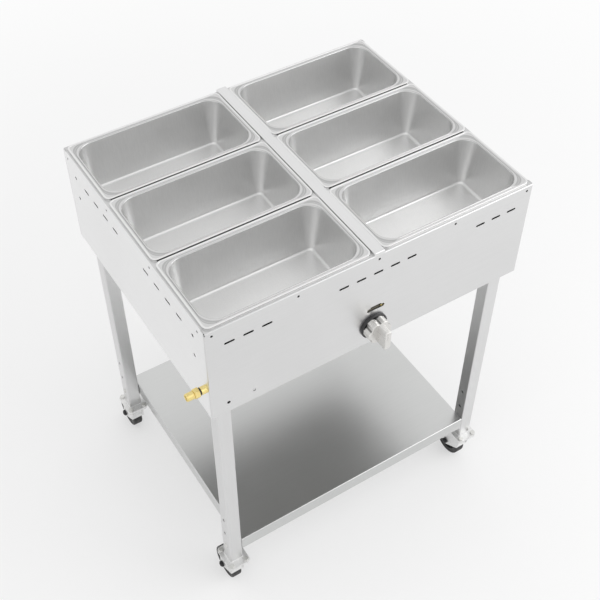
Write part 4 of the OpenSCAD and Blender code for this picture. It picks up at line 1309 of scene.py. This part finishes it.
class STEAMTABLE_OT_divider(bpy.types.Operator):
    """Fold the raised bar between the two columns of pans"""

    bl_idname = "steam_table.divider"
    bl_label = "Divider Bar"

    def execute(self, context):
        sizes = settings("divider")
        sheets = settings("sheets")
        centre = middle_of("divider_bar").x
        half = size_of("divider_bar").x / 2 - sizes.flange
        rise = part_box("divider_bar")[1].z - TOP
        start = sheets.top_flange + sheets.seam
        bm = bmesh.new()

        def strip(points, stations):
            """Skins the outline along stations of (depth, share of its width, drop)."""
            rows = []
            for depth, scale, drop in stations:
                row = [
                    Vector((centre + x * scale, FRONT + depth, TOP + z - drop)) for x, z in points
                ]
                rows.append([bm.verts.new(spot) for spot in row])
            for row, after in zip(rows, rows[1:]):
                for k in range(len(row) - 1):
                    bm.faces.new((row[k], row[k + 1], after[k + 1], after[k]))
            return rows

        hat = [(-half - sizes.flange, 0), (-half, 0), (-half, rise)]
        hat += [(-x, z) for x, z in reversed(hat)]
        radii = [0, sizes.foot, sizes.edge, sizes.edge, sizes.foot, 0]
        strip(filleted(hat, radii), [(start, 1, 0), (DEPTH - start, 1, 0)])
        walls = [(-half, 0), (-half, rise), (half, rise), (half, 0)]
        end_outline = filleted(walls, sizes.edge)
        end_outline.insert(1, Vector((-half, sizes.foot)))
        end_outline.insert(-1, Vector((half, sizes.foot)))
        stations = []
        for inward, down in rounding():
            inset = sizes.edge * down
            stations.append((sizes.edge * inward, 1 - inset / half, inset))
        stations.append((start, 1, 0))
        mirrored = [(DEPTH - depth, scale, drop) for depth, scale, drop in stations]
        for end in (stations, mirrored):
            bm.faces.new(strip(end_outline, end)[0])
        bmesh.ops.remove_doubles(bm, verts=bm.verts, dist=HAT_GAP)
        face_away(bm, Vector((0, 0, -1)))
        bar = mesh_object("divider_hat", bm)
        solidify(bar, sheets.thickness)
        hand_over(bar, "frame", "divider_steel", "divider_bar")
        return {"FINISHED"}


def pan_stations(sizes, depth):
    """Down a pan's face: how far in from the rim's edge, how far below its top, corner radius."""
    stations = [(0.0, sizes.rim_stand, sizes.rim_corner)]
    for inward, down in rounding(2 * BEND_STEPS, math.pi):
        inset = sizes.bead / 2 * inward
        stations.append((inset, sizes.bead_height * down, sizes.rim_corner - inset))
    for side, deep in ((-1, 0.0), (0, sizes.crease_depth), (1, 0.0)):
        inset = sizes.rim - sizes.crease_from_mouth + side * sizes.crease / 2
        blend = (inset - sizes.bead) / (sizes.rim - sizes.bead)
        inner = sizes.mouth_corner + sizes.mouth_round
        corner = (1 - blend) * (sizes.rim_corner - sizes.bead) + blend * inner
        stations.append((inset, sizes.bead_height + deep, corner))
    for inward, down in rounding():
        out = sizes.mouth_round * down
        drop = sizes.bead_height + sizes.mouth_round * inward
        stations.append((sizes.rim + sizes.mouth_round - out, drop, sizes.mouth_corner + out))
    floor_in = sizes.rim + sizes.mouth_round + sizes.taper
    for inward, down in rounding(2 * BEND_STEPS):
        inset = sizes.floor_round * inward
        drop = depth - sizes.floor_round * down
        stations.append((floor_in + inset, drop, sizes.floor_corner - inset))
    inset, drop, radius = stations[-1]
    stations.append((inset + sizes.floor_ring, drop, radius - sizes.floor_ring))
    return stations


class STEAMTABLE_OT_pans(bpy.types.Operator):
    """Draw the six lift-out pans"""

    bl_idname = "steam_table.pans"
    bl_label = "Pans"

    def execute(self, context):
        sizes = settings("pans")
        for place in PANS:
            node = "pan_" + place
            low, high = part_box(node)
            half = (high - low) / 2
            centre = (low + high) / 2
            depth = high.z - low.z - sizes.thickness
            rings = []
            for inset, drop, radius in pan_stations(sizes, depth):
                spot = Vector((centre.x, centre.y, high.z - drop))
                rings.append(rounded_ring(half.x - inset, half.y - inset, radius, spot))
            bm = bmesh.new()
            loft(bm, rings, cap_end=True)
            pan = mesh_object(node + "_drawn", bm)
            solidify(pan, sizes.thickness)
            hand_over(pan, body_of(node), "pan_steel", node)
        return {"FINISHED"}


def points_with_turns(name, spots):
    """A mesh of loose points, each with the turn of the part that goes there."""
    mesh = bpy.data.meshes.new(name)
    mesh.from_pydata([spot for spot, _ in spots], [], [])
    turns = mesh.attributes.new("turn", "FLOAT_VECTOR", "POINT")
    for item, (_, turn) in zip(turns.data, spots):
        item.vector = turn
    made = bpy.data.objects.new(name, mesh)
    bpy.context.scene.collection.objects.link(made)
    return made


def drop_part(part):
    mesh = part.data
    bpy.data.objects.remove(part)
    bpy.data.meshes.remove(mesh)


def set_parts(name, bm, spots, slot_name, *nodes):
    """One piece of the frame, with a copy of the part at each spot, turned as the spot says."""
    part = mesh_object(name + "_part", bm, close=True)
    made = points_with_turns(name, spots)
    use_tree(made, "parts_on_points", {"Part": part, "Finish": paint(slot_name)})
    hand_over(made, "frame", slot_name, *nodes)
    drop_part(part)


def ring_of_blocks(name, reach, ease, count, radius, matrix, body, slot_name):
    """A ring of blocks about the matrix's Z axis; a block reaches that far from its middle."""
    bm = bmesh.new()
    block(bm, -reach, reach, ease)
    part = mesh_object(name + "_part", bm, close=True)
    ring = mesh_object(name, bmesh.new())
    values = {"Part": part, "Count": count, "Radius": radius, "Finish": paint(slot_name)}
    use_tree(ring, "ring_of_parts", values)
    bake(ring)
    ring.data.transform(matrix)
    hand_over(ring, body, slot_name)
    drop_part(part)


def rod_profile(radius, low, high, chamfer):
    """Half the outline of a plain rod with chamfered ends."""
    return [
        (0, low),
        (radius - chamfer, low),
        (radius, low + chamfer),
        (radius, high - chamfer),
        (radius - chamfer, high),
        (0, high),
    ]


class STEAMTABLE_OT_legs(bpy.types.Operator):
    """Make the four leg tubes with their holes and the weld at each foot"""

    bl_idname = "steam_table.legs"
    bl_label = "Legs"

    def execute(self, context):
        sizes = settings("legs")
        bolt_z = middle_of("shelf_bolts").z
        rows = ((bolt_z, sizes.bolt_hole, 1), (bolt_z + sizes.pitch, sizes.hole, 2))
        for corner in CORNERS:
            node = "leg_" + corner
            low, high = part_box(node)
            centre = middle_of(node)
            half = (high.x - low.x) / 2
            rings = []
            for z in (low.z, high.z):
                spot = Vector((centre.x, centre.y, z))
                rings.append(rounded_ring(half, half, sizes.edge, spot, BEND_STEPS))
            bm = bmesh.new()
            loft(bm, rings)
            leg = mesh_object(node + "_tube", bm)
            solidify(leg, sizes.wall)
            for z, size, count in rows:
                values = {
                    "Start": [centre.x, centre.y, z],
                    "Step": [0.0, 0.0, sizes.pitch],
                    "Turn": [math.pi / 2, 0.0, math.pi / 2],
                    "Count": count,
                    "Length": size,
                    "Height": size,
                    "Depth": 4 * half,
                    "Finish": paint("leg_tube"),
                }
                use_tree(leg, "row_of_holes", values)
            hand_over(leg, "frame", "leg_tube", node)
            self.weld(corner, Vector((centre.x, centre.y, low.z)), half, sizes)
        return {"FINISHED"}

    def weld(self, corner, foot, half, sizes):
        """A rippled bead round the leg's foot."""
        bm = bmesh.new()
        bmesh.ops.create_icosphere(bm, subdivisions=2, radius=sizes.bead)
        for vert in bm.verts:
            vert.co.z *= WELD_FLATNESS
        ring = rounded_ring(half, half, sizes.edge, foot, steps=2)
        spots = []
        for start, end in zip(ring, ring[1:] + ring[:1]):
            count = max(1, round((end - start).length / sizes.bead_pitch))
            spots += [(start.lerp(end, step / count), (0, 0, 0)) for step in range(count)]
        set_parts("weld_" + corner, bm, spots, "zinc")


class STEAMTABLE_OT_shelf(bpy.types.Operator):
    """Fold the low shelf and set its bolts"""

    bl_idname = "steam_table.shelf"
    bl_label = "Shelf"

    def execute(self, context):
        sizes = settings("legs")
        low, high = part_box("shelf")
        half = (high - low) / 2
        centre = middle_of("shelf")
        edge = sizes.shelf_edge
        least_corner = 0.2 * MM
        stations = [(0.0, low.z)]
        stations += [(edge * inward, high.z - edge * down) for inward, down in rounding()]
        rings = []
        for inset, z in stations:
            spot = Vector((centre.x, centre.y, z))
            corner = edge + least_corner - inset
            rings.append(rounded_ring(half.x - inset, half.y - inset, corner, spot, steps=4))
        bm = bmesh.new()
        loft(bm, rings, cap_end=True)
        shelf = mesh_object("shelf_tray", bm)
        solidify(shelf, sizes.shelf_sheet)
        hand_over(shelf, "frame", "shelf_sheet", "shelf")
        self.bolts(sizes)
        return {"FINISHED"}

    def bolts(self, sizes):
        """Round-headed bolts through the legs, with nuts inside the shelf's lips."""
        leg_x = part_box("leg_front_left")[0].x
        z = middle_of("shelf_bolts").z
        head = leg_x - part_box("shelf_bolts")[0].x
        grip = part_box("shelf")[0].x + sizes.shelf_sheet - leg_x
        nut_low = -(grip + sizes.nut_height)
        socket = sizes.bolt_socket / 2
        socket_floor = 0.35 * head
        dome_round = 0.75 * head
        corners = [(0, head, 0), (sizes.bolt_head, head, dome_round)]
        corners += [(sizes.bolt_head, 0, 0), (0, 0, 0)]
        dome = [(0, socket_floor), (socket, socket_floor), (socket, head)]
        dome += rounded_outline(corners, BEND_STEPS)[1:]
        radius = sizes.bolt_hole / 2
        tip = radius / 3
        shank = rod_profile(radius, nut_low - tip, 0.0, chamfer=0.1 * radius)
        bm = bmesh.new()
        turned(bm, dome, Matrix.Identity(4), HEAD_STEPS)
        turned(bm, shank, Matrix.Identity(4), ROD_STEPS)
        hexagon(bm, sizes.nut, nut_low, -grip, Matrix.Identity(4), chamfer_low=True)
        spots = []
        for corner in CORNERS:
            low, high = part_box("leg_" + corner)
            is_left = corner.endswith("left")
            x = low.x if is_left else high.x
            turn = Euler((0, -math.pi / 2 if is_left else math.pi / 2, 0))
            spots.append((Vector((x, (low.y + high.y) / 2, z)), turn))
        set_parts("shelf_bolt_set", bm, spots, "bolt_steel", "shelf_bolts")


class STEAMTABLE_OT_casters(bpy.types.Operator):
    """Make the caster plates, forks, bolts, axles and wheels"""

    bl_idname = "steam_table.casters"
    bl_label = "Casters"

    def execute(self, context):
        sizes = settings("casters")
        self.plate_bolts(sizes)
        softened("foot_plates", "foot_plate_set", sizes.plate_ease, "zinc")
        for corner in CORNERS:
            softened("caster_plate_" + corner, "swivel_plate_" + corner, sizes.plate_ease, "zinc")
            softened("caster_fork_" + corner, "fork_pressing_" + corner, sizes.fork_ease, "zinc")
            self.axle(corner, sizes)
            self.wheel(corner, sizes)
            self.tyre(corner, sizes)
        return {"FINISHED"}

    def plate_bolts(self, sizes):
        """Four hexagon bolts through each caster's plates."""
        foot_low, foot_high = (corner.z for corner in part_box("foot_plates"))
        nut_high = foot_low - self.top_plate(sizes) - foot_high
        nut_low = nut_high - sizes.nut
        radius = sizes.bolt / 2
        shank = rod_profile(radius, nut_low - sizes.tip, 0.0, chamfer=0.15 * radius)
        bm = bmesh.new()
        turned(bm, shank, Matrix.Identity(4), ROD_STEPS)
        hexagon(bm, sizes.bolt_flats, 0.0, sizes.bolt_head, Matrix.Identity(4))
        hexagon(bm, sizes.bolt_flats, nut_low, nut_high, Matrix.Identity(4), chamfer_low=True)
        spots = []
        for corner in CORNERS:
            centre = middle_of("leg_" + corner)
            for x in (-sizes.plate_bolt_width / 2, sizes.plate_bolt_width / 2):
                for y in (-sizes.plate_bolt_length / 2, sizes.plate_bolt_length / 2):
                    spots.append((Vector((centre.x + x, centre.y + y, foot_high)), (0, 0, 0)))
        set_parts("plate_bolt_set", bm, spots, "bolt_steel", "caster_bolts")

    def top_plate(self, sizes):
        """Thickness of a caster's top plate, between the foot plate and the fork's race."""
        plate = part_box("caster_plate_front_left")[1].z
        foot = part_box("foot_plates")[0].z
        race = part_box("caster_fork_front_left")[1].z
        return foot - race - (plate - foot) - sizes.race_gap

    def axle(self, corner, sizes):
        """The axle with its hexagon head on the right and its nut on the left."""
        node = "caster_axle_" + corner
        low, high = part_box(node)
        centre = middle_of(node)
        matrix = facing("X", Vector((0, centre.y, centre.z)))
        head_low = high.x - sizes.axle_head
        nut_low = low.x + sizes.axle_tip
        bm = bmesh.new()
        shank = rod_profile(sizes.axle / 2, low.x, head_low, chamfer=0.5 * MM)
        turned(bm, shank, matrix, HEAD_STEPS)
        hexagon(bm, sizes.axle_flats, nut_low, nut_low + sizes.axle_head, matrix, chamfer_low=True)
        hexagon(bm, sizes.axle_flats, head_low, high.x, matrix)
        axle = mesh_object("axle_bolt_" + corner, bm, close=True)
        hand_over(axle, body_of(node), "black_bolt", node)

    def wheel(self, corner, sizes):
        """The moulded wheel: hub, web and rim with ribs on both sides."""
        node = "wheel_core_" + corner
        low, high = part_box(node)
        outer = (high.z - low.z) / 2
        half = (high.x - low.x) / 2
        inner = outer - sizes.rim_depth
        rim = half - sizes.rim_step
        web = sizes.web / 2
        hub = sizes.hub
        draft = 1 * MM
        rib_end_gap = 0.5 * MM
        rib_side_inset = 1.5 * MM
        right = [
            (sizes.axle / 2 + sizes.axle_clearance, half, 0.3 * MM),
            (hub, half, 0.8 * MM),
            (hub + draft, web, 1.5 * MM),
            (inner - draft, web, 1.5 * MM),
            (inner, rim, 0.6 * MM),
            (outer, rim, 0.2 * MM),
        ]
        matrix = facing("X", middle_of(node))
        outline = rounded_outline(right, steps=3, mirrored=True)
        wheel = turning("wheel_" + corner, outline, matrix, TURN_STEPS)
        hand_over(wheel, body_of(node), "wheel_plastic", node)
        rib_length = inner - hub - rib_end_gap
        ring_of_blocks(
            "wheel_ribs_" + corner,
            reach=Vector((rib_length / 2, sizes.rib / 2, rim - rib_side_inset)),
            ease=0.3 * MM,
            count=sizes.ribs,
            radius=(inner + hub) / 2,
            matrix=matrix,
            body=body_of(node),
            slot_name="wheel_plastic",
        )

    def tyre(self, corner, sizes):
        """The rubber tyre with round shoulders and two narrow grooves."""
        node = "tyre_" + corner
        low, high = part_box(node)
        outer = (high.z - low.z) / 2
        half = (high.x - low.x) / 2
        groove = sizes.tyre_groove / 2
        at = sizes.tyre_groove_at
        right = [
            (outer - sizes.tyre_depth, half, 0.4 * MM),
            (outer, half, sizes.tyre_shoulder),
            (outer, at + groove, 0.1 * MM),
            (outer - 2 * groove, at, 0.1 * MM),
            (outer, at - groove, 0.1 * MM),
        ]
        outline = rounded_outline(right, steps=6, mirrored=True)
        tyre = turning("tyre_tread_" + corner, outline, facing("X", middle_of(node)), WIDE_STEPS)
        hand_over(tyre, body_of(node), "tyre_rubber", node)


def skirt_outline(sizes):
    """Round the skirt: out to its radius, or in to the scallop that lies that way."""
    reach = sizes.skirt - sizes.scallop_depth + sizes.scallop
    sector = math.tau / sizes.scallops
    outline = []
    for step in range(2 * TURN_STEPS):
        angle = math.tau * step / (2 * TURN_STEPS)
        aside = (angle - math.pi / 2 + sector / 2) % sector - sector / 2
        radius = sizes.skirt
        across = reach * math.sin(aside)
        if abs(across) < sizes.scallop:
            scallop = reach * math.cos(aside) - math.sqrt(sizes.scallop ** 2 - across ** 2)
            radius = min(radius, scallop)
        outline.append(Vector((radius * math.cos(angle), radius * math.sin(angle))))
    return outline


def grip_outline(sizes):
    """The upright bar with a groove high and low in each of its sides."""
    half = sizes.grip / 2
    high = sizes.grip_height / 2
    groove = sizes.groove / 2
    deep = half - sizes.groove_depth
    quarter = [(half, sizes.groove_at - groove), (deep, sizes.groove_at)]
    quarter += [(half, sizes.groove_at + groove), (half, high)]
    rounds = [0.15 * MM, 0.3 * MM, 0.15 * MM, sizes.grip_round]
    corners = quarter + [(-x, y) for x, y in reversed(quarter)]
    corners += [(-x, -y) for x, y in corners]
    rounds = (rounds + list(reversed(rounds))) * 2
    return filleted(corners, rounds, steps=4, closed=True)


def eased_prism(bm, outline, low, high, ease, matrix):
    """A prism along the matrix's Z axis whose far edge is rounded."""
    reach = max(abs(point.y) for point in outline)
    stations = [(1.0, low)]
    for inward, down in rounding():
        stations.append((1 - ease * inward / reach, high - ease * down))
    rings = []
    for scale, along in stations:
        rings.append([matrix @ Vector((scale * p.x, scale * p.y, along)) for p in outline])
    loft(bm, rings, cap_start=True, cap_end=True)


class STEAMTABLE_OT_control(bpy.types.Operator):
    """Make the bezel with its marks, the knob and its pointer"""

    bl_idname = "steam_table.control"
    bl_label = "Control"

    def execute(self, context):
        sizes = settings("control")
        self.bezel(sizes)
        self.knob(sizes)
        finish_nodes("bolt_steel", "knob_set_screw", "valve_stem")
        return {"FINISHED"}

    def bezel(self, sizes):
        """The bezel ring with a raised lip, and the marks on its chamfer."""
        low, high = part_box("knob_bezel")
        centre = middle_of("knob_bezel")
        radius = (high.x - low.x) / 2
        front = high.y - low.y
        bore = sizes.stem_hole / 2
        lip = sizes.bezel_lip
        cut = sizes.bezel_chamfer
        lip_slope = 0.5 * lip
        hollow = front - 0.6 * lip
        corners = [
            (bore, 0, 0),
            (radius, 0, 0.3 * MM),
            (radius, front - cut, 0.8 * MM),
            (radius - cut, front, 0.5 * MM),
            (radius - cut - lip, front, 0.3 * MM),
            (radius - cut - lip - lip_slope, hollow, 0.3 * MM),
            (bore, hollow, 0.3 * MM),
        ]
        matrix = facing("-Y", Vector((centre.x, high.y, centre.z)))
        bezel = turning("bezel_ring", rounded_outline(corners, steps=4), matrix, WIDE_STEPS)
        hand_over(bezel, "frame", "black_plastic", "knob_bezel")
        ring_of_blocks(
            "bezel_marks",
            reach=Vector((sizes.mark_length, sizes.mark_width, sizes.mark_height)) / 2,
            ease=0.12 * MM,
            count=sizes.marks,
            radius=radius - cut / 2,
            matrix=matrix @ Matrix.Translation((0, 0, front - cut / 2)),
            body="frame",
            slot_name="black_plastic",
        )

    def knob(self, sizes):
        """The fluted skirt with its grip bar, and the pointer on the bar."""
        low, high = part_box("control_knob")
        axis = middle_of("knob_bezel")
        body = body_of("control_knob")
        matrix = facing("-Y", Vector((axis.x, high.y, axis.z)))
        full = high.y - low.y - sizes.pointer_height
        skirt = sizes.skirt_length
        bm = bmesh.new()
        eased_prism(bm, skirt_outline(sizes), 0.0, skirt, sizes.face_round, matrix)
        eased_prism(bm, grip_outline(sizes), skirt / 2, full, sizes.face_round, matrix)
        knob = mesh_object("knob_body", bm, close=True)
        hand_over(knob, body, "knob_silver", "control_knob", angle=TURNED_ANGLE)
        half = sizes.pointer / 2
        start = Vector((-half, sizes.pointer, full - sizes.pointer_sunk))
        end = Vector((half, sizes.grip_height / 2 - sizes.grip_round, full + sizes.pointer_height))
        pointer_bm = bmesh.new()
        block(pointer_bm, start, end, 0.35 * MM, steps=3)
        bmesh.ops.transform(pointer_bm, matrix=matrix, verts=pointer_bm.verts)
        hand_over(mesh_object("knob_pointer", pointer_bm, close=True), body, "knob_silver")


class STEAMTABLE_OT_gas_inlet(bpy.types.Operator):
    """Turn the brass inlet with its hexagon and thread"""

    bl_idname = "steam_table.gas_inlet"
    bl_label = "Gas Inlet"

    def execute(self, context):
        sizes = settings("gas")
        low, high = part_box("inlet_adapter")
        axis = middle_of("inlet_hex_nut")
        matrix = facing("-X", Vector((LEFT, axis.y, axis.z)))
        inside = LEFT - high.x
        reach = LEFT - low.x
        hex_start = sizes.collar + sizes.groove
        hex_end = hex_start + sizes.hexagon
        self.adapter(sizes, matrix, inside, reach, hex_end)
        bm = bmesh.new()
        hexagon(bm, sizes.flats, hex_start, hex_end, matrix, chamfer_low=True, bore=sizes.neck)
        nut = mesh_object("inlet_hexagon", bm, close=True)
        hand_over(nut, "frame", "brass", "inlet_hex_nut", angle=HEXAGON_ANGLE)
        self.seal(sizes, matrix, hex_start)
        self.thread(sizes, matrix, reach)
        return {"FINISHED"}

    def adapter(self, sizes, matrix, inside, reach, hex_end):
        """Down the outside from the cabinet to the mouth, then back along the bore."""
        cut = sizes.chamfer
        corners = [
            (sizes.tube, inside, 0),
            (sizes.neck, inside, 0.4 * MM),
            (sizes.neck, 0, 0),
            (sizes.radius, 0, 0.3 * MM),
        ]
        for along_collar in (0.30, 0.62):
            at = along_collar * sizes.collar
            corners += [
                (sizes.radius, at, 0.1 * MM),
                (sizes.radius - sizes.ring_depth, at + sizes.ring_width / 2, 0.15 * MM),
                (sizes.radius, at + sizes.ring_width, 0.1 * MM),
            ]
        corners += [
            (sizes.radius, sizes.collar - cut, 0.2 * MM),
            (sizes.radius - cut, sizes.collar, 0.2 * MM),
            (sizes.neck, sizes.collar, 0.3 * MM),
            (sizes.neck, hex_end, 0),
            (sizes.radius - cut, hex_end, 0),
            (sizes.radius, hex_end + cut, 0.2 * MM),
            (sizes.radius, reach - sizes.taper_length, 0.4 * MM),
            (sizes.radius - sizes.taper_depth, reach, 0.4 * MM),
            (sizes.mouth + cut, reach, 0.1 * MM),
            (sizes.mouth, reach - cut, 0.1 * MM),
            (sizes.mouth, reach - sizes.mouth_length, 0),
            (sizes.tube, reach - sizes.mouth_length, 0),
        ]
        outline = rounded_outline(corners, steps=3)
        inlet = turning("inlet_turning", outline, matrix, INLET_STEPS)
        hand_over(inlet, "frame", "brass", "inlet_adapter", angle=TURNED_ANGLE)

    def seal(self, sizes, matrix, hex_start):
        """The black ring in the groove between the collar and the hexagon."""
        inner = sizes.neck - 0.1 * MM
        outer = sizes.neck + 0.75 * (sizes.radius - sizes.neck)
        corners = [
            (inner, sizes.collar, 0),
            (outer, sizes.collar, 0.5 * MM),
            (outer, hex_start, 0.5 * MM),
            (inner, hex_start, 0),
        ]
        outline = rounded_outline(corners, steps=4)
        seal = turning("inlet_seal", outline, matrix, INLET_STEPS)
        hand_over(seal, "frame", "black_plastic")

    def thread(self, sizes, matrix, reach):
        """The thread inside the mouth."""
        cut = sizes.chamfer
        thread = mesh_object("inlet_thread", bmesh.new())
        turns = int((sizes.mouth_length - 2 * cut) / sizes.thread_pitch)
        values = {"Radius": sizes.mouth, "Pitch": sizes.thread_pitch, "Turns": float(turns)}
        values.update({"Ridge": sizes.thread_height, "Finish": paint("brass")})
        use_tree(thread, "thread", values)
        bake(thread)
        first = Matrix.Translation((0, 0, reach - sizes.mouth_length + cut))
        thread.data.transform(matrix @ first)
        hand_over(thread, "frame", "brass")


class STEAMTABLE_OT_inside(bpy.types.Operator):
    """Finish the tank, the burner and the gas line inside the cabinet"""

    bl_idname = "steam_table.inside"
    bl_label = "Tank and Burner"

    def execute(self, context):
        finish_nodes("tank_steel", "water_tank")
        finish_nodes("plain_steel", "corner_gussets", "burner_hangers", "pipe_clips")
        finish_nodes("pipe_metal", "gas_pipe")
        finish_nodes("brass", "pipe_cap", "valve_body", "injector")
        finish_nodes("burner_metal", "mixing_tube", "burner_bar")
        finish_nodes("zinc", "air_shutter")
        return {"FINISHED"}


def seen_directly(nodes):
    """1 for the camera's rays, also by way of mirrors and glass, and 0 for light."""
    path = nodes.add("ShaderNodeLightPath")
    seen = path.output("Is Camera Ray") + path.output("Is Glossy Ray")
    return seen + path.output("Is Transmission Ray")


def floor_material(sizes):
    """Pale floor that keeps its shadow near the table and fades to white further off."""
    made = Finish("floor")
    flat = made.add("ShaderNodeVectorMath", {"operation": "LENGTH"}, {0: made.place})
    far = made.spread(flat.output("Value"), sizes.fade_start, sizes.fade_end)
    glow = sizes.glow + (1.0 - sizes.glow) * far
    grain = made.noise(scale=3.0, detail=3.0)
    tone = made.blend(grain, tinted(sizes.floor_colour, 0.99), tinted(sizes.floor_colour))
    lit = made.add("ShaderNodeBsdfDiffuse", None, {"Color": tone})
    white = made.add("ShaderNodeEmission", None, {"Color": WHITE, "Strength": 1.0})
    inputs = {0: glow * seen_directly(made), 1: lit, 2: white}
    mixed = made.add("ShaderNodeMixShader", None, inputs)
    made.add("ShaderNodeOutputMaterial", None, {"Surface": mixed})
    return made.material


class STEAMTABLE_OT_stage(bpy.types.Operator):
    """Lay the floor, hang the lamps and set the camera"""

    bl_idname = "steam_table.stage"
    bl_label = "Stage"

    def execute(self, context):
        sizes = settings("stage")
        self.floor(sizes)
        self.world(sizes)
        self.lamps(sizes)
        self.camera(sizes)
        return {"FINISHED"}

    def floor(self, sizes):
        bm = bmesh.new()
        radius = sizes.floor_radius
        bmesh.ops.create_circle(bm, cap_ends=True, radius=radius, segments=WIDE_STEPS)
        floor = mesh_object("floor", bm)
        floor.data.materials.append(floor_material(sizes))
        if floor.data.polygons[0].normal.z < 0:
            floor.data.flip_normals()

    def world(self, sizes):
        """White to the camera and in reflections, softer as light."""
        world = bpy.data.worlds.new("studio")
        bpy.context.scene.world = world
        world.use_nodes = True
        world.node_tree.nodes.clear()
        nodes = Nodes(world.node_tree)
        strength = sizes.sky + (1.0 - sizes.sky) * seen_directly(nodes)
        background = nodes.add(
            "ShaderNodeBackground", None, {"Color": WHITE, "Strength": strength}
        )
        nodes.add("ShaderNodeOutputWorld", None, {"Surface": background})

    def lamps(self, sizes):
        """Two square lamps that look at the table's middle."""
        table_middle = (cad_box[0] + cad_box[1]) / 2
        plans = (
            ("key_lamp", sizes.key_place, sizes.key_size, sizes.key),
            ("fill_lamp", sizes.fill_place, sizes.fill_size, sizes.fill),
        )
        for name, spot, size, power in plans:
            lamp = bpy.data.lights.new(name, "AREA")
            lamp.shape = "SQUARE"
            lamp.size = size
            lamp.energy = power
            made = bpy.data.objects.new(name, lamp)
            made.location = spot
            look = table_middle - Vector(spot)
            made.rotation_euler = look.to_track_quat("-Z", "Y").to_euler()
            bpy.context.scene.collection.objects.link(made)

    def camera(self, sizes):
        lens = bpy.data.cameras.new("photo_camera")
        lens.lens = sizes.lens
        lens.sensor_width = 36.0
        lens.clip_end = 60.0
        camera = bpy.data.objects.new("photo_camera", lens)
        bpy.context.scene.collection.objects.link(camera)
        turn = Euler((sizes.camera_tilt, 0.0, sizes.camera_turn)).to_matrix()
        turn = turn @ Matrix.Rotation(sizes.camera_roll, 3, "Z")
        camera.rotation_euler = turn.to_euler()
        camera.location = sizes.camera_place
        bpy.context.scene.camera = camera


OPERATORS = (
    STEAMTABLE_OT_cabinet,
    STEAMTABLE_OT_divider,
    STEAMTABLE_OT_pans,
    STEAMTABLE_OT_legs,
    STEAMTABLE_OT_shelf,
    STEAMTABLE_OT_casters,
    STEAMTABLE_OT_control,
    STEAMTABLE_OT_gas_inlet,
    STEAMTABLE_OT_inside,
    STEAMTABLE_OT_stage,
)


class STEAMTABLE_PT_panel(bpy.types.Panel):
    """Lists the steps and the sizes that they use."""

    bl_idname = "STEAMTABLE_PT_panel"
    bl_label = "Steam Table"
    bl_space_type = "VIEW_3D"
    bl_region_type = "UI"
    bl_category = "Steam Table"

    def draw(self, context):
        for operator in OPERATORS:
            self.layout.operator(operator.bl_idname)
        for group, kind in SETTINGS.items():
            box = self.layout.box()
            box.label(text=group.capitalize())
            for name in kind.__annotations__:
                box.prop(settings(group), name)


CLASSES = (*SETTINGS.values(), *OPERATORS, STEAMTABLE_PT_panel)


def register():
    for made in CLASSES:
        bpy.utils.register_class(made)
    for group, kind in SETTINGS.items():
        setattr(bpy.types.Scene, "steam_table_" + group, PointerProperty(type=kind))


def unregister():
    for group in SETTINGS:
        delattr(bpy.types.Scene, "steam_table_" + group)
    for made in reversed(CLASSES):
        bpy.utils.unregister_class(made)


def main():
    """Builds the whole table."""
    register()
    bpy.context.scene.view_settings.view_transform = "Standard"
    steps = bpy.ops.steam_table
    steps.cabinet()
    steps.divider()
    steps.pans()
    steps.legs()
    steps.shelf()
    steps.casters()
    steps.control()
    steps.gas_inlet()
    steps.inside()
    steps.stage()


if __name__ == "__main__":
    main()
